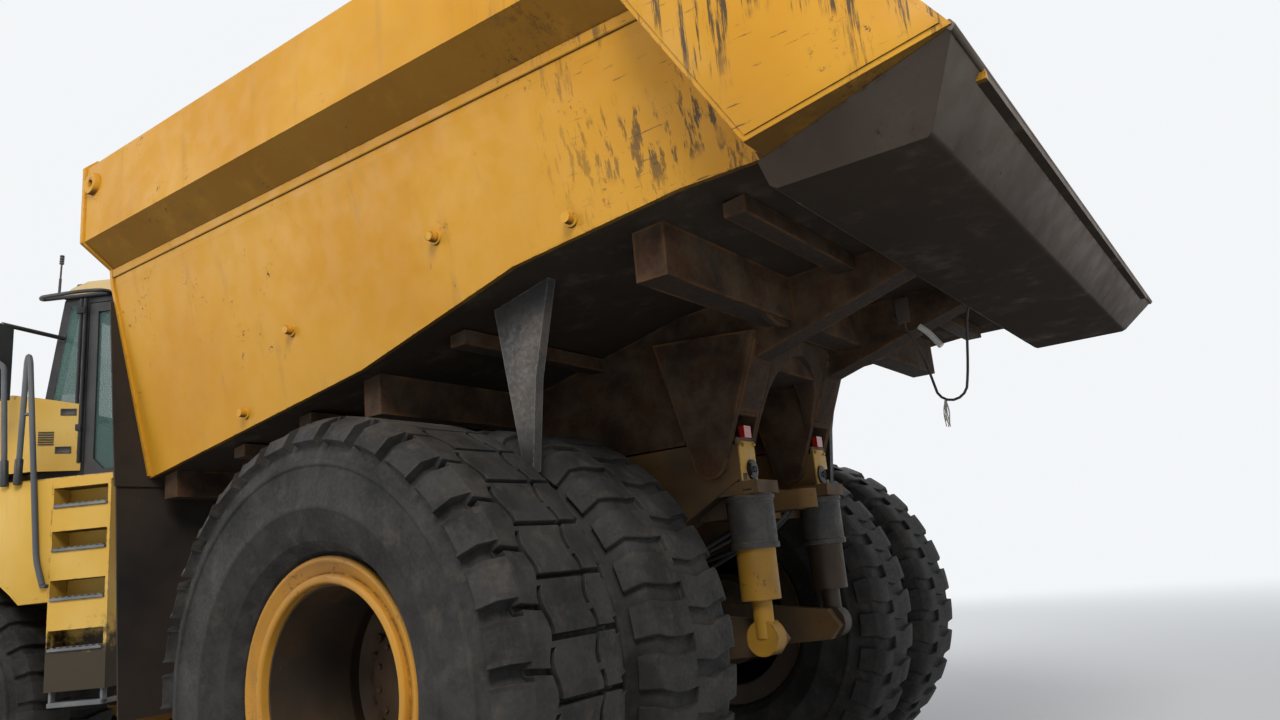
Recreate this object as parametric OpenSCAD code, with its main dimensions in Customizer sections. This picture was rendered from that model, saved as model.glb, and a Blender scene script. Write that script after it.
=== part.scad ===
// Articulated two-axle dump truck with twin rear wheels, parked with the
// front half turned on its pivot. The rear half is drawn in a frame on the
// ground under the rear axle, the front half in one on the ground under the
// steering pivot. +X is forward, +Y left, +Z up.

/* [Stance] */
// Distance from the rear axle forward to the steering pivot
hitch_x = 3740; // [3600:10:3900]
// How far the front half is turned to the left as it stands, degrees
parked_lock = 30; // [20:1:34]
// Distance from the steering pivot forward to the front axle
front_axle_x = 1560; // [1540:10:1640]
// Height of the roll bearing and the drive shaft
hitch_z = 1150; // [1130:5:1170]

/* [Rear wheels] */
// Outer radius of a rear tyre
rear_tyre_r = 1087.5; // [1070:2.5:1095]
// Half of a rear tyre's width at its widest
rear_tyre_half = 338; // [325:1:340]
// Sideways place of the outer rear tyre's middle
rear_outer_y = 1971; // [1960:1:1975]
// Sideways place of the inner rear tyre's middle
rear_inner_y = 1139; // [1139:1:1150]

/* [Front wheels] */
// Outer radius of a front tyre
front_tyre_r = 935; // [920:5:940]
// Half of a front tyre's width at its widest
front_tyre_half = 430; // [420:1:437]
// Sideways place of a front tyre's middle
front_tyre_y = 1290; // [1285:1:1300]

/* [Bin] */
// Front face of the bin, ahead of the rear axle
bin_front_x = 2310; // [2280:5:2320]
// Tail lip of the bin, behind the rear axle
bin_tail_x = -2710; // [-2740:5:-2680]
// Height of the top rails
bin_top_z = 4150; // [4120:5:4180]
// Outer face of the top rails, sideways
rail_y = 2133; // [2120:1:2140]
// Thickness of the bin's plates
bin_plate = 25; // [20:1:30]
// Place of the bin's hinge behind the rear axle
bin_hinge_x = -870; // [-880:1:-860]
// Height of the bin's hinge
bin_hinge_z = 1950; // [1945:1:1955]

/* [Cab and hood] */
// Half of the cab's width
cab_half = 900; // [890:5:905]
// Height of the cab's roof
cab_roof_z = 4030; // [4000:5:4060]
// Height of the walkways' top
deck_z = 2390; // [2380:5:2400]
// Outer edge of the walkways, sideways
deck_y = 1720; // [1715:1:1725]
// Thickness of the hood's skin
hood_skin = 20; // [15:1:25]

/* [Front end] */
// Front corners of the bumper, ahead of the pivot
bumper_x = 4050; // [4000:10:4100]
// Half of the bumper's width at those corners
bumper_half = 1500; // [1450:10:1550]

/* [Hidden] */
$fn = 48;

yellow = [0.86, 0.63, 0.16];
dark = [0.13, 0.12, 0.11];
rust = [0.25, 0.15, 0.10];
grey = [0.45, 0.46, 0.47];
glass = [0.35, 0.47, 0.45, 0.5];
rubber = [0.10, 0.10, 0.11];
steel = [0.75, 0.76, 0.78];

// The stored origin is on the ground, in the middle of the whole outline:
// the tail lip and the right rear tyre on one side, the two front corners of
// the turned bumper on the other. It is kept to a hundredth of a millimetre.
right_reach = rear_outer_y + rear_tyre_half;
front_reach = hitch_x + bumper_x*cos(parked_lock) + bumper_half*sin(parked_lock);
left_reach = bumper_x*sin(parked_lock) + bumper_half*cos(parked_lock);
origin_x = round(50*(front_reach + bin_tail_x))/100;
origin_y = round(50*(left_reach - right_reach))/100;

module rear_half() {
    translate([-origin_x, -origin_y, 0]) children();
}

module front_half() {
    rear_half() translate([hitch_x, 0, 0]) rotate([0, 0, parked_lock]) children();
}

module both_sides() {
    children();
    mirror([0, 1, 0]) children();
}

// An outline drawn as [x, z], made width wide across y about y_mid.
module across(width, y_mid = 0) {
    translate([0, y_mid, 0]) rotate([90, 0, 0]) linear_extrude(width, center = true) children();
}

// An outline drawn as [y, z], made from x_from to x_to.
module lengthwise(x_from, x_to) {
    translate([x_from, 0, 0]) rotate([90, 0, 90]) linear_extrude(x_to - x_from) children();
}

// An outline drawn as [x, y], made from z_from to z_to.
module upright(z_from, z_to) {
    translate([0, 0, z_from]) linear_extrude(z_to - z_from) children();
}

// An outline drawn as [radius, sideways], turned about an axle at [x, z].
module about_axle(x, z) {
    translate([x, 0, z]) rotate([-90, 0, 0]) rotate_extrude($fn = 96) children();
}

// A round bar between two points.
module bar(from, to, r) {
    run = to - from;
    flat_run = norm([run[0], run[1]]);
    translate(from) rotate([0, atan2(flat_run, run[2]), atan2(run[1], run[0])])
        cylinder(h = norm(run), r = r, $fn = 24);
}

module block(low, high) {
    translate(low) cube(high - low);
}

module mirrored_outline(half) {
    polygon(concat(half, [for (i = [len(half) - 1:-1:0]) [half[i][0], -half[i][1]]]));
}

// Wheels and tyres

// One row for each tyre size: tyre radius, half width, rim radius at the
// bead, rim flange radius, half of the rim's width between its flanges
rear_size = [rear_tyre_r, rear_tyre_half, 444, 533, 204];
front_size = [front_tyre_r, front_tyre_half, 368, 440, 330];
flange_t = 26;
rim_t = 22;

function tyre_half_outline(size) = [
    [size[2], size[4]],
    [size[3] + 4, size[4]],
    [size[3] + 45, size[1] - 45],
    [(size[0] + size[3])/2 - 30, size[1]],
    [size[0] - 165, size[1] - 8],
    [size[0] - 55, size[1] - 32],
    [size[0], size[1] - 75]
];

module tyre_section(size) {
    half = tyre_half_outline(size);
    polygon(concat(half, [for (i = [len(half) - 1:-1:0]) [half[i][0], -half[i][1]]]));
}

module tyre(size, x, y) {
    color(rubber) about_axle(x, size[0]) translate([0, y]) tyre_section(size);
}

// Barrel of a rim with its two flanges, about the middle of its tyre.
module rim_barrel(size) {
    outer = size[4] + flange_t;
    polygon([
        [size[2] - rim_t, -outer], [size[3], -outer], [size[3], -size[4] - 2],
        [size[2], -size[4] - 2], [size[2], size[4] + 2], [size[3], size[4] + 2],
        [size[3], outer], [size[2] - rim_t, outer]
    ]);
}

rear_hub_r = 290;
rear_hub_from = 905;
rear_hub_to = 1990;
rear_spindle_r = 150;
rear_disc_y = 1830;
front_hub_r = 270;
front_hub_from = 900;
front_hub_to = 1500;
front_spindle_r = 130;
front_disc_y = 1380;
disc_t = 30;
spindle_gap = 5;

module hub_outline(hub_r, from, to, spindle_r, spindle_to) {
    polygon([
        [0, spindle_to + spindle_gap], [spindle_r + spindle_gap, spindle_to + spindle_gap],
        [spindle_r + spindle_gap, from], [hub_r, from], [hub_r, to - 60],
        [hub_r - 50, to - 60], [hub_r - 90, to], [0, to]
    ]);
}

module wheel_rear() {
    color(yellow) about_axle(0, rear_tyre_r) {
        for (y = [rear_inner_y, rear_outer_y]) translate([0, y]) rim_barrel(rear_size);
        hub_outline(rear_hub_r, rear_hub_from, rear_hub_to, rear_spindle_r, rear_disc_y - 200);
        translate([rear_hub_r - 1, rear_disc_y])
            square([rear_size[2] - rim_t - rear_hub_r + 2, disc_t]);
        translate([rear_size[2] - rim_t, rear_inner_y])
            square([rim_t, rear_outer_y - rear_inner_y]);
    }
}

module wheel_front() {
    color(yellow) about_axle(front_axle_x, front_tyre_r) {
        translate([0, front_tyre_y]) rim_barrel(front_size);
        hub_outline(front_hub_r, front_hub_from, front_hub_to, front_spindle_r, front_disc_y - 60);
        translate([front_hub_r - 1, front_disc_y])
            square([front_size[2] - rim_t - front_hub_r + 2, disc_t]);
    }
}

module tyres_rear() {
    for (y = [rear_inner_y, rear_outer_y]) tyre(rear_size, 0, y);
}

module tyre_front() {
    tyre(front_size, front_axle_x, front_tyre_y);
}

module wheel_rear_left() { rear_half() wheel_rear(); }
module wheel_rear_right() { rear_half() mirror([0, 1, 0]) wheel_rear(); }
module wheel_front_left() { front_half() wheel_front(); }
module wheel_front_right() { front_half() mirror([0, 1, 0]) wheel_front(); }
module tyres_rear_left() { rear_half() tyres_rear(); }
module tyres_rear_right() { rear_half() mirror([0, 1, 0]) tyres_rear(); }
module tyre_front_left() { front_half() tyre_front(); }
module tyre_front_right() { front_half() mirror([0, 1, 0]) tyre_front(); }

// Rear chassis

rail_mid = 440;
rail_w = 180;
pin_r = 45;
pin_gap = 0.5;
trunnion_r = 200;
housing_r = 300;
housing_from = 2200;
housing_to = hitch_x - 745;
hoist_foot = [1950, 850];
hoist_y = 660;
hoist_pin_r = 40;
shaft_r = 60;
shaft_tunnel_r = 110;
strut_x = -985;
strut_y = 412;
strut_top_z = 1766;
strut_foot_z = 1075;
tow_eye_x = -1080;
tow_eye_z = [1690, 1790];
tow_bore_r = 30;

module rear_rail() {
    across(rail_w, rail_mid) polygon([
        [-1000, 1840], [-1000, 2010], [-940, 2045], [1150, 2045], [2150, 1480],
        [2420, 1400], [2420, 880], [2150, 760], [1750, 720], [1350, 860],
        [820, 1360], [560, 1540], [-480, 1560]
    ]);
}

module rear_frame() {
    color(yellow) rear_half() difference() {
        union() {
            both_sides() rear_rail();
            // cross members: x from, x to, z from, z to
            for (tube = [[-860, -700, 1660, 1820], [620, 800, 1640, 1820], [1650, 1850, 840, 1030]])
                block([tube[0], -rail_mid, tube[2]], [tube[1], rail_mid, tube[3]]);
            translate([housing_from, 0, hitch_z]) rotate([0, 90, 0])
                cylinder(h = housing_to - housing_from, r = housing_r, $fn = 96);
            block([2160, -rail_mid, hitch_z - 270], [2240, rail_mid, hitch_z + 270]);
            both_sides() {
                // ear that carries the foot of a hoist cylinder
                across(60, hoist_y - 100) translate(hoist_foot) circle(r = 110);
                block([1880, rail_mid, 800], [2020, hoist_y - 72, 900]);
                // seat of a suspension strut
                block([strut_x - 110, strut_y - 112, strut_top_z], [strut_x + 110, strut_y + 112, 1830]);
                // plate that faces the rear, on the end of a rail
                block([-1012, 352, 1770], [-1000, 528, 2050]);
            }
            // tow eye at the back
            upright(tow_eye_z[0], tow_eye_z[1]) {
                translate([tow_eye_x, 0]) circle(r = 75);
                polygon([[tow_eye_x, -75], [tow_eye_x, 75], [-850, 110], [-850, -110]]);
            }
        }
        translate([tow_eye_x, 0, tow_eye_z[0] - 1]) cylinder(h = 102, r = tow_bore_r);
        translate([housing_from - 60, 0, hitch_z]) rotate([0, 90, 0]) cylinder(h = 62, r = shaft_tunnel_r);
        translate([housing_from - 1, 0, hitch_z]) rotate([0, 90, 0])
            cylinder(h = housing_to - housing_from + 2, r = trunnion_r + 1, $fn = 96);
        both_sides() {
            across(rail_w + 2, rail_mid) translate([bin_hinge_x, bin_hinge_z]) circle(r = pin_r + pin_gap);
            across(62, hoist_y - 100) translate(hoist_foot) circle(r = hoist_pin_r + pin_gap);
        }
    }
}

module rear_axle() {
    color(yellow) rear_half() {
        about_axle(0, rear_tyre_r) both_outline([
            [380, 0], [380, 130], [330, 260], [215, 420], [190, 700], [190, 840],
            [260, 860], [260, 890], [rear_spindle_r, 890], [rear_spindle_r, rear_disc_y - 200], [0, rear_disc_y - 200]
        ]);
        // pinion nose and drive shaft
        translate([300, 0, rear_tyre_r]) rotate([0, 90, 0]) cylinder(h = 260, r = 170);
        bar([500, 0, rear_tyre_r], [hitch_x - 90, 0, hitch_z], shaft_r);
        // arms from the axle back to the struts' feet
        both_sides() across(60, strut_y - 85) polygon([
            [-100, 1250], [-100, 940], [-1000, 990], [-1060, 1060], [-1000, 1150]
        ]);
    }
}

// A half outline in [radius, sideways] from the middle outwards, made whole.
module both_outline(half) {
    polygon(concat(half, [for (i = [len(half) - 1:-1:0]) [half[i][0], -half[i][1]]]));
}

// One row for each length of a strut: lowest and highest point, radius
strut_parts = [[strut_foot_z, 1260, 50], [1255, 1520, 98], [1515, strut_top_z, 112]];

module rear_suspension() {
    color(yellow) rear_half() both_sides() translate([strut_x, strut_y, 0]) {
        for (part = strut_parts)
            translate([0, 0, part[0]]) cylinder(h = part[1] - part[0], r = part[2]);
        translate([0, 40, strut_foot_z]) rotate([90, 0, 0]) cylinder(h = 95, r = 85);
    }
}

module tail_lamps() {
    color([0.6, 0.05, 0.04]) rear_half() both_sides()
        block([-1030, 400, 2050], [-1000, 470, 2110]);
}

// Hitch knuckle: rolls in the rear housing and carries the steering pivot

steer_pin_r = 60;
upper_boss = [1400, 1490];
lower_boss = [860, 960];
ear_gap = 5;
ear_t = 70;
steer_z = 1310;
steer_base = [-600, 400];
steer_tip = [760, 400];
steer_eye_t = 70;

module knuckle_arm(z_from, z_to) {
    upright(z_from, z_to) {
        circle(r = 150);
        polygon([[-660, -260], [-660, 260], [-20, 148], [-20, -148]]);
    }
}

module hitch_knuckle() {
    color(yellow) rear_half() translate([hitch_x, 0, 0]) difference() {
        union() {
            translate([-735, 0, hitch_z]) rotate([0, 90, 0]) cylinder(h = 85, r = 340, $fn = 96);
            translate([-1500, 0, hitch_z]) rotate([0, 90, 0]) cylinder(h = 800, r = trunnion_r, $fn = 96);
            knuckle_arm(upper_boss[0], upper_boss[1]);
            knuckle_arm(lower_boss[0], lower_boss[1]);
            both_sides() {
                for (z = steer_ears)
                    upright(z, z + steer_ear_t) {
                        translate(steer_base) circle(r = 75);
                        polygon([[-690, 200], [-690, 475], [-600, 475], [-525, 400], [-660, 200]]);
                    }
            }
        }
        translate([0, 0, 800]) cylinder(h = 750, r = steer_pin_r + pin_gap);
        both_sides() translate([steer_base[0], steer_base[1], steer_z - 100]) cylinder(h = 200, r = 35 + pin_gap);
        translate([-1501, 0, hitch_z]) rotate([0, 90, 0]) cylinder(h = 900, r = shaft_tunnel_r);
    }
}

// Front chassis

front_rail_mid = 380;
front_rail_w = 120;
front_rail_top = 1340;
tower_half = 185;
steer_ear_t = 25;
steer_ear_gap = 5;

// Heights of the two ears of a steering cylinder's eye.
steer_ears = [for (side = [-1, 1]) steer_z + side*(steer_eye_t/2 + steer_ear_gap + steer_ear_t/2) - steer_ear_t/2];

module front_frame() {
    color(yellow) front_half() difference() {
        union() {
            both_sides() across(front_rail_w, front_rail_mid) polygon([
                [420, 785], [420, 1200], [960, 1200], [1100, 1620], [2050, 1620], [2350, front_rail_top],
                [3900, front_rail_top], [3900, 1000], [2400, 950], [2080, 1330], [1140, 1330], [850, 785]
            ]);
            // tower behind the pivot, with its two ears
            block([330, -tower_half, 785], [900, tower_half, 1565]);
            block([420, -front_rail_mid, 785], [600, front_rail_mid, 1040]);
            block([905, -front_rail_mid, 1340], [1300, front_rail_mid, 1565]);
            block([800, -tower_half, 1340], [1000, tower_half, 1565]);
            for (z = [upper_boss[1] + ear_gap, lower_boss[0] - ear_gap - ear_t])
                upright(z, z + ear_t) {
                    circle(r = 165);
                    polygon([[500, -tower_half], [500, tower_half], [-20, 163], [-20, -163]]);
                }
            // cross members: x from, x to, z from, z to
            for (tube = [[2400, 2560, 980, 1140], [3740, 3900, 1000, 1330]])
                block([tube[0], -front_rail_mid, tube[2]], [tube[1], front_rail_mid, tube[3]]);
            // arch that the front struts push up against
            block([1470, -700, 1900], [1650, 700, 1980]);
            both_sides() block([1470, 330, 1600], [1650, 430, 1910]);
            // outriggers of the cab and the walkways
            block([480, -tower_half, 1560], [560, tower_half, 2110]);
            block([480, -960, 2100], [560, 960, cab_floor_z]);
            block([1180, -1650, 2100], [1260, 1650, cab_floor_z]);
            both_sides() {
                block([1180, 330, 1600], [1260, 430, 2110]);
                block([1180, 1500, 2150], [1260, 1600, deck_z - 25]);
            }
            // ears of the steering cylinders
            both_sides() {
                for (z = steer_ears)
                    upright(z, z + steer_ear_t)
                        polygon([[690, 340], [690, 460], [905, 490], [905, 330]]);
                block([900, 330, 1150], [960, 490, 1380]);
                // ear of the hood's hinge, on the bumper
                across(20, hood_ear_y - 12.5) {
                    translate(hood_hinge) circle(r = 38);
                    polygon([[3890, 1240], [3890, 1330], [4035, 1365], [4085, 1315], [4085, 1240]]);
                }
                block([3850, hood_ear_y - 60, 1240], [3900, hood_ear_y - 2.5, 1330]);
            }
        }
        // way through for the drive shaft
        block([300, -shaft_tunnel_r, hitch_z - shaft_tunnel_r], [1000, shaft_tunnel_r, hitch_z + shaft_tunnel_r]);
    }
    color(steel) front_half() {
        for (pin = [[lower_boss[0] - ear_gap - ear_t - 20, lower_boss[1]], [upper_boss[0], upper_boss[1] + ear_gap + ear_t + 20]])
            translate([0, 0, pin[0]]) cylinder(h = pin[1] - pin[0], r = steer_pin_r);
        both_sides() across(65, hood_ear_y) translate(hood_hinge) circle(r = hood_pin_r);
    }
}

module front_axle() {
    color(yellow) front_half() {
        about_axle(front_axle_x, front_tyre_r) both_outline([
            [320, 0], [320, 120], [280, 230], [180, 380], [160, 600], [160, 820],
            [230, 840], [230, 885], [front_spindle_r, 885], [front_spindle_r, front_disc_y - 60], [0, front_disc_y - 60]
        ]);
        translate([front_axle_x - 480, 0, front_tyre_r]) rotate([0, 90, 0]) cylinder(h = 220, r = 140);
        // seats of the struts
        both_sides() block([front_axle_x - 90, 510, front_tyre_r], [front_axle_x + 90, 690, front_tyre_r + 185]);
        // drive shaft from the pivot to the gearbox
        bar([90, 0, hitch_z], [1010, 0, hitch_z], shaft_r);
        block([1005, -180, 1000], [1250, 180, 1330]);
    }
}

module front_suspension() {
    color(dark) front_half() both_sides()
        bar([front_axle_x, 600, front_tyre_r + 185], [front_axle_x, 600, 1900], 80);
}

module engine_block() {
    color(dark) front_half() block([2360, -330, front_rail_top], [3450, 330, 2350]);
}

module radiator() {
    color(dark) front_half() block([3560, -600, front_rail_top], [3680, 600, 2330]);
}

front_eye = [4180, 500];
front_eye_z = [830, 890];

module front_bumper() {
    color(yellow) front_half() difference() {
        union() {
            upright(700, 1240) mirrored_outline([[3900, 0], [3900, 900], [3500, 1440], [3560, 1500], [bumper_x, bumper_half], [4130, 700], [4130, 0]]);
            both_sides() upright(front_eye_z[0], front_eye_z[1]) {
                translate(front_eye) circle(r = 60);
                translate([4100, front_eye[1] - 60]) square([front_eye[0] - 4100, 120]);
            }
        }
        both_sides() block([3900, 1050, 900], [4200, 1350, 1100]);
        both_sides() translate([front_eye[0], front_eye[1], front_eye_z[0] - 1]) cylinder(h = 62, r = tow_bore_r);
    }
}

module headlamps() {
    color(steel) front_half() both_sides() block([3900, 1060, 910], [4050, 1340, 1090]);
}

// Cab

cab_floor_z = 2200;
cab_back_x = -330;
cab_wall = 55;
door_x = [110, 950];
door_z = [2400, 3860];
door_gap = 6;
door_t = 45;
door_hinge = [100, 925];
door_knuckles = [2560, 3560];

module cab_side_outline(inset) {
    polygon([
        [cab_back_x + inset, cab_floor_z + inset], [cab_back_x + inset, 3920 - inset], [-240, cab_roof_z - inset],
        [1060, cab_roof_z - inset], [1160 - inset, 3900 - inset], [1290 - inset, 3100],
        [1330 - inset, cab_floor_z + inset]
    ]);
}

module cab_shell() {
    color(grey) front_half() difference() {
        union() {
            across(2*cab_half) cab_side_outline(0);
            for (z = door_knuckles) {
                translate([door_hinge[0], door_hinge[1], z]) cylinder(h = 60, r = 14);
                block([door_hinge[0] - 14, cab_half - 5, z], [door_hinge[0], door_hinge[1], z + 60]);
            }
        }
        across(2*(cab_half - cab_wall)) cab_side_outline(cab_wall);
        // door opening on the left, escape window on the right
        block([door_x[0] - door_gap, cab_half - 100, door_z[0] - door_gap], [door_x[1] + door_gap, cab_half + 10, door_z[1] + door_gap]);
        block([door_x[0] + 40, -cab_half - 10, 2900], [door_x[1], -cab_half + 100, 3820]);
        // quarter windows
        both_sides() across(200, cab_half) polygon([[1010, 3160], [1010, 3820], [1100, 3820], [1215, 3160]]);
        // rear quarter windows
        both_sides() block([-250, cab_half - 100, 2900], [40, cab_half + 10, 3820]);
        // windscreen and rear window
        lengthwise(1000, 1400) polygon([[-800, 3000], [800, 3000], [800, 3850], [-800, 3850]]);
        lengthwise(-400, -200) polygon([[-780, 2900], [780, 2900], [780, 3820], [-780, 3820]]);
    }
}

module cab_glass() {
    color(glass) front_half() {
        both_sides() {
            across(8, cab_half - 20) polygon([[1011, 3161], [1011, 3819], [1099, 3819], [1213, 3161]]);
            block([-249, cab_half - 24, 2901], [39, cab_half - 16, 3819]);
        }
        block([door_x[0] + 41, -cab_half + 16, 2901], [door_x[1] - 1, -cab_half + 24, 3819]);
        intersection() {
            difference() {
                across(1598) cab_side_outline(20);
                across(1700) cab_side_outline(28);
            }
            block([1000, -799, 3001], [1400, 799, 3849]);
        }
        block([cab_back_x + 20, -779, 2901], [cab_back_x + 28, 779, 3819]);
    }
}

module cab_door() {
    color(dark) front_half() difference() {
        union() {
            block([door_x[0], cab_half - door_t, door_z[0]], [door_x[1], cab_half, door_z[1]]);
            for (z = door_knuckles) {
                translate([door_hinge[0], door_hinge[1], z + 61]) cylinder(h = 60, r = 14);
                block([door_hinge[0], cab_half + 5, z + 61], [door_x[0] + 60, cab_half + 18, z + 121]);
                block([door_x[0] + 40, cab_half - 5, z + 61], [door_x[0] + 60, cab_half + 18, z + 121]);
            }
        }
        across(200, cab_half) polygon([[190, 2700], [190, 3790], [880, 3790], [880, 2640], [800, 2560], [320, 2560]]);
    }
}

module door_glass() {
    color(glass) front_half()
        across(8, cab_half - 22) polygon([[191, 2701], [191, 3789], [879, 3789], [879, 2641], [799, 2561], [321, 2561]]);
}

module cab_interior() {
    color(dark) front_half() {
        block([150, -280, cab_floor_z + cab_wall], [600, 280, 2600]);
        block([120, -270, 2600], [640, 270, 2740]);
        block([60, -260, 2600], [180, 260, 3350]);
        block([1020, -780, cab_floor_z + cab_wall], [1220, 780, 2950]);
    }
}

// Walkways, steps and mudguards

module walkway_side() {
    difference() {
        union() {
            block([160, 910, deck_z - 40], [900, deck_y, deck_z]);
            // tank box below, with the steps cut in its outer face
            block([170, 960, 1050], [570, deck_y, deck_z - 30]);
            // mudguard over the front tyre
            across(deck_y - 930, (deck_y + 930)/2) polygon([
                [550, 1940], [640, 2180], [860, deck_z], [2350, deck_z], [2560, 2200], [2680, 1800],
                [2660, 1795], [2535, 2185], [2335, deck_z - 25], [880, deck_z - 25], [670, 2165], [592, 1942]
            ]);
        }
        for (z = [1290, 1600, 1910, 2190])
            block([190, deck_y - 160, z], [560, deck_y + 10, z + 130]);
    }
}

module walkways() {
    color(yellow) front_half() both_sides() walkway_side();
}

module handrails() {
    color(grey) front_half() {
        both_sides() {
            for (post = [[640, 1700], [900, 2340]]) {
                bar([post[0], deck_y + 25, post[1]], [post[0], deck_y + 25, 3218], 18);
                block([post[0] - 12, deck_y, deck_z - 24], [post[0] + 12, deck_y + 25, deck_z - 2]);
            }
            bar([640, deck_y + 25, 3200], [900, deck_y + 25, 3200], 16);
        }
        // rail round the roof
        both_sides() bar([-250, 820, cab_roof_z + 70], [1050, 820, cab_roof_z + 70], 18);
        both_sides() for (x = [-250, 1050]) bar([x, 820, cab_roof_z], [x, 820, cab_roof_z + 70], 18);
        for (x = [-250, 1050]) bar([x, -820, cab_roof_z + 70], [x, 820, cab_roof_z + 70], 18);
    }
}

module mirrors() {
    color(dark) front_half() both_sides() {
        block([1135, cab_half, 3575], [1165, cab_half + 8, 3625]);
        bar([1150, cab_half + 5, 3600], [1260, 1400, 3600], 16);
        block([1230, 1320, 3050], [1290, 1540, 3590]);
    }
}

module exhaust() {
    color(dark) front_half() translate([400, -1120, deck_z]) {
        cylinder(h = 900, r = 110);
        cylinder(h = 1500, r = 65);
    }
}

// Hood and grille

hood_hinge = [4050, 1330];
hood_ear_y = 300;
hood_pin_r = 18;
grille_z = [1480, 1980];
grille_half = 560;

// Front face of the hood at height z, below its upper slope.
function hood_front(z) = 4120 - (z - 1370)*40/630;

module hood_side_outline(inset) {
    polygon([
        [960, 2560], [960, 3060 - inset], [1410, 3150 - inset], [3200, 2880 - inset], [3850 - inset, 2560 - inset],
        [4080 - inset, 2000], [4120 - inset, 1370], [2750, 1370], [2750, 2000], [2600, 2420], [1500, 2420], [1500, 2560]
    ]);
}

module hood_plan(inset) {
    mirrored_outline([[970, 0], [970, 912], [1230, 1080 - inset], [3200, 1060 - inset], [3850 - inset, 900 - inset], [4125 - inset, 620 - inset], [4125 - inset, 0]]);
}

module hood() {
    color(yellow) front_half() difference() {
        union() {
            difference() {
                intersection() {
                    across(2400) hood_side_outline(0);
                    upright(1300, 3300) hood_plan(0);
                }
                intersection() {
                    across(2400) union() {
                        hood_side_outline(hood_skin);
                        polygon([[900, 2300], [900, 2900], [4000, 2000], [4000, 1300], [2700, 1300]]);
                    }
                    upright(1300, 3300) hood_plan(hood_skin);
                }
                // room for the cab between the rear arms
                block([900, -912, 2300], [1380, 912, 3300]);
                // opening of the grille
                block([3900, -grille_half, grille_z[0]], [4200, grille_half, grille_z[1]]);
            }
            both_sides() across(20, hood_ear_y + 12.5) {
                translate(hood_hinge) circle(r = 35);
                polygon([[4015, 1330], [4060, 1450], [4108, 1450], [4108, 1372], [4085, 1330]]);
            }
        }
        both_sides() across(24, hood_ear_y + 12.5) translate(hood_hinge) circle(r = hood_pin_r + pin_gap);
    }
}

module grille() {
    color(dark) front_half() {
        for (z = [1510:62:1944])
            block([hood_front(z) - 45, -grille_half, z], [hood_front(z) - 14, grille_half, z + 28]);
        for (y = [-grille_half + 10, -200, 200, grille_half - 10])
            across(20, y) polygon([
                [hood_front(grille_z[0]) - 70, grille_z[0]], [hood_front(grille_z[0]) - 18, grille_z[0]],
                [hood_front(grille_z[1]) - 18, grille_z[1]], [hood_front(grille_z[1]) - 70, grille_z[1]]
            ]);
    }
}

// Bin

// Cross-section of the bin's outside, half, as [sideways, z]
function bin_half_section() = [
    [0, 2000], [1646, 2000], [1700, 2250], [1950, 3400], [1958, 3492], [rail_y, 3627],
    [rail_y, bin_top_z - 60], [rail_y - 60, bin_top_z], [0, bin_top_z]
];
seat_gap = 0.2;
// Underside of the floor, as [x, z], from the front to the tail
floor_line = [[bin_front_x, 2250], [300, 2500], [-750, 2730], [-1600, 2800], [bin_tail_x, 2800]];

// Height of the floor's underside at x.
function floor_z(x) = lookup(-x, [for (p = floor_line) [-p[0], p[1] - seat_gap]]);

module mirrored_section(half) {
    polygon(concat(half, [for (i = [len(half) - 1:-1:1]) [-half[i][0], half[i][1]]]));
}

lift_eye = [2190, 3960];
lift_eye_r = 62;
lift_boss = 24;
lift_bore = [24, 84];
lift_pilot_r = 6;

// Outline of the bin from the side, as [x, z].
bin_outline = concat(floor_line, [[bin_tail_x, 2840], [-1770, 4100], [-1810, bin_top_z], [bin_front_x, bin_top_z]]);
floor_t = 40;

// One side of the bin with its rail and lifting eye, down to the floor's underside.
module bin_side() {
    difference() {
        union() {
            intersection() {
                across(2*rail_y + 2) polygon(bin_outline);
                lengthwise(bin_tail_x - 1, bin_front_x + 1) polygon(concat(
                    [for (i = [1:len(bin_half_section()) - 2]) bin_half_section()[i]],
                    [[1960, bin_top_z], [1932, 3492], [1924, 3400], [1674, 2250], [1620, 2000]]
                ));
            }
            translate([lift_eye[0], rail_y + lift_boss, lift_eye[1]]) rotate([90, 0, 0])
                cylinder(h = lift_boss + 5, r = lift_eye_r);
        }
        translate([lift_eye[0], rail_y + lift_boss + 1, lift_eye[1]]) rotate([90, 0, 0]) {
            cylinder(h = lift_bore[1] + 1, r = lift_bore[0]);
            // pilot hole, deeper than the bore
            cylinder(h = lift_bore[1] + 21, r = lift_pilot_r);
        }
    }
}

module bin_sides() {
    color(yellow) rear_half() both_sides() bin_side();
}

// Floor between the sides, with the front wall.
module bin_floor() {
    color(yellow) rear_half() intersection() {
        difference() {
            across(2*rail_y) polygon(bin_outline);
            across(2*rail_y + 2) polygon(concat(
                [for (p = floor_line) [p[0] == bin_front_x ? p[0] - bin_plate : p[0], p[1] + floor_t]],
                [[bin_tail_x - 10, 2840], [bin_tail_x - 10, 4300], [bin_front_x - bin_plate, 4300]]
            ));
        }
        lengthwise(bin_tail_x - 20, bin_front_x + 1) mirrored_section([
            [0, 2000], [1620, 2000], [1674, 2250], [1924, 3400], [1932, 3492], [1960, bin_top_z], [0, bin_top_z]
        ]);
    }
}

sill_w = 160;
hoist_eye = [750, 2320];
hoist_eye_t = 130;
hoist_ear_t = 30;

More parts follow.
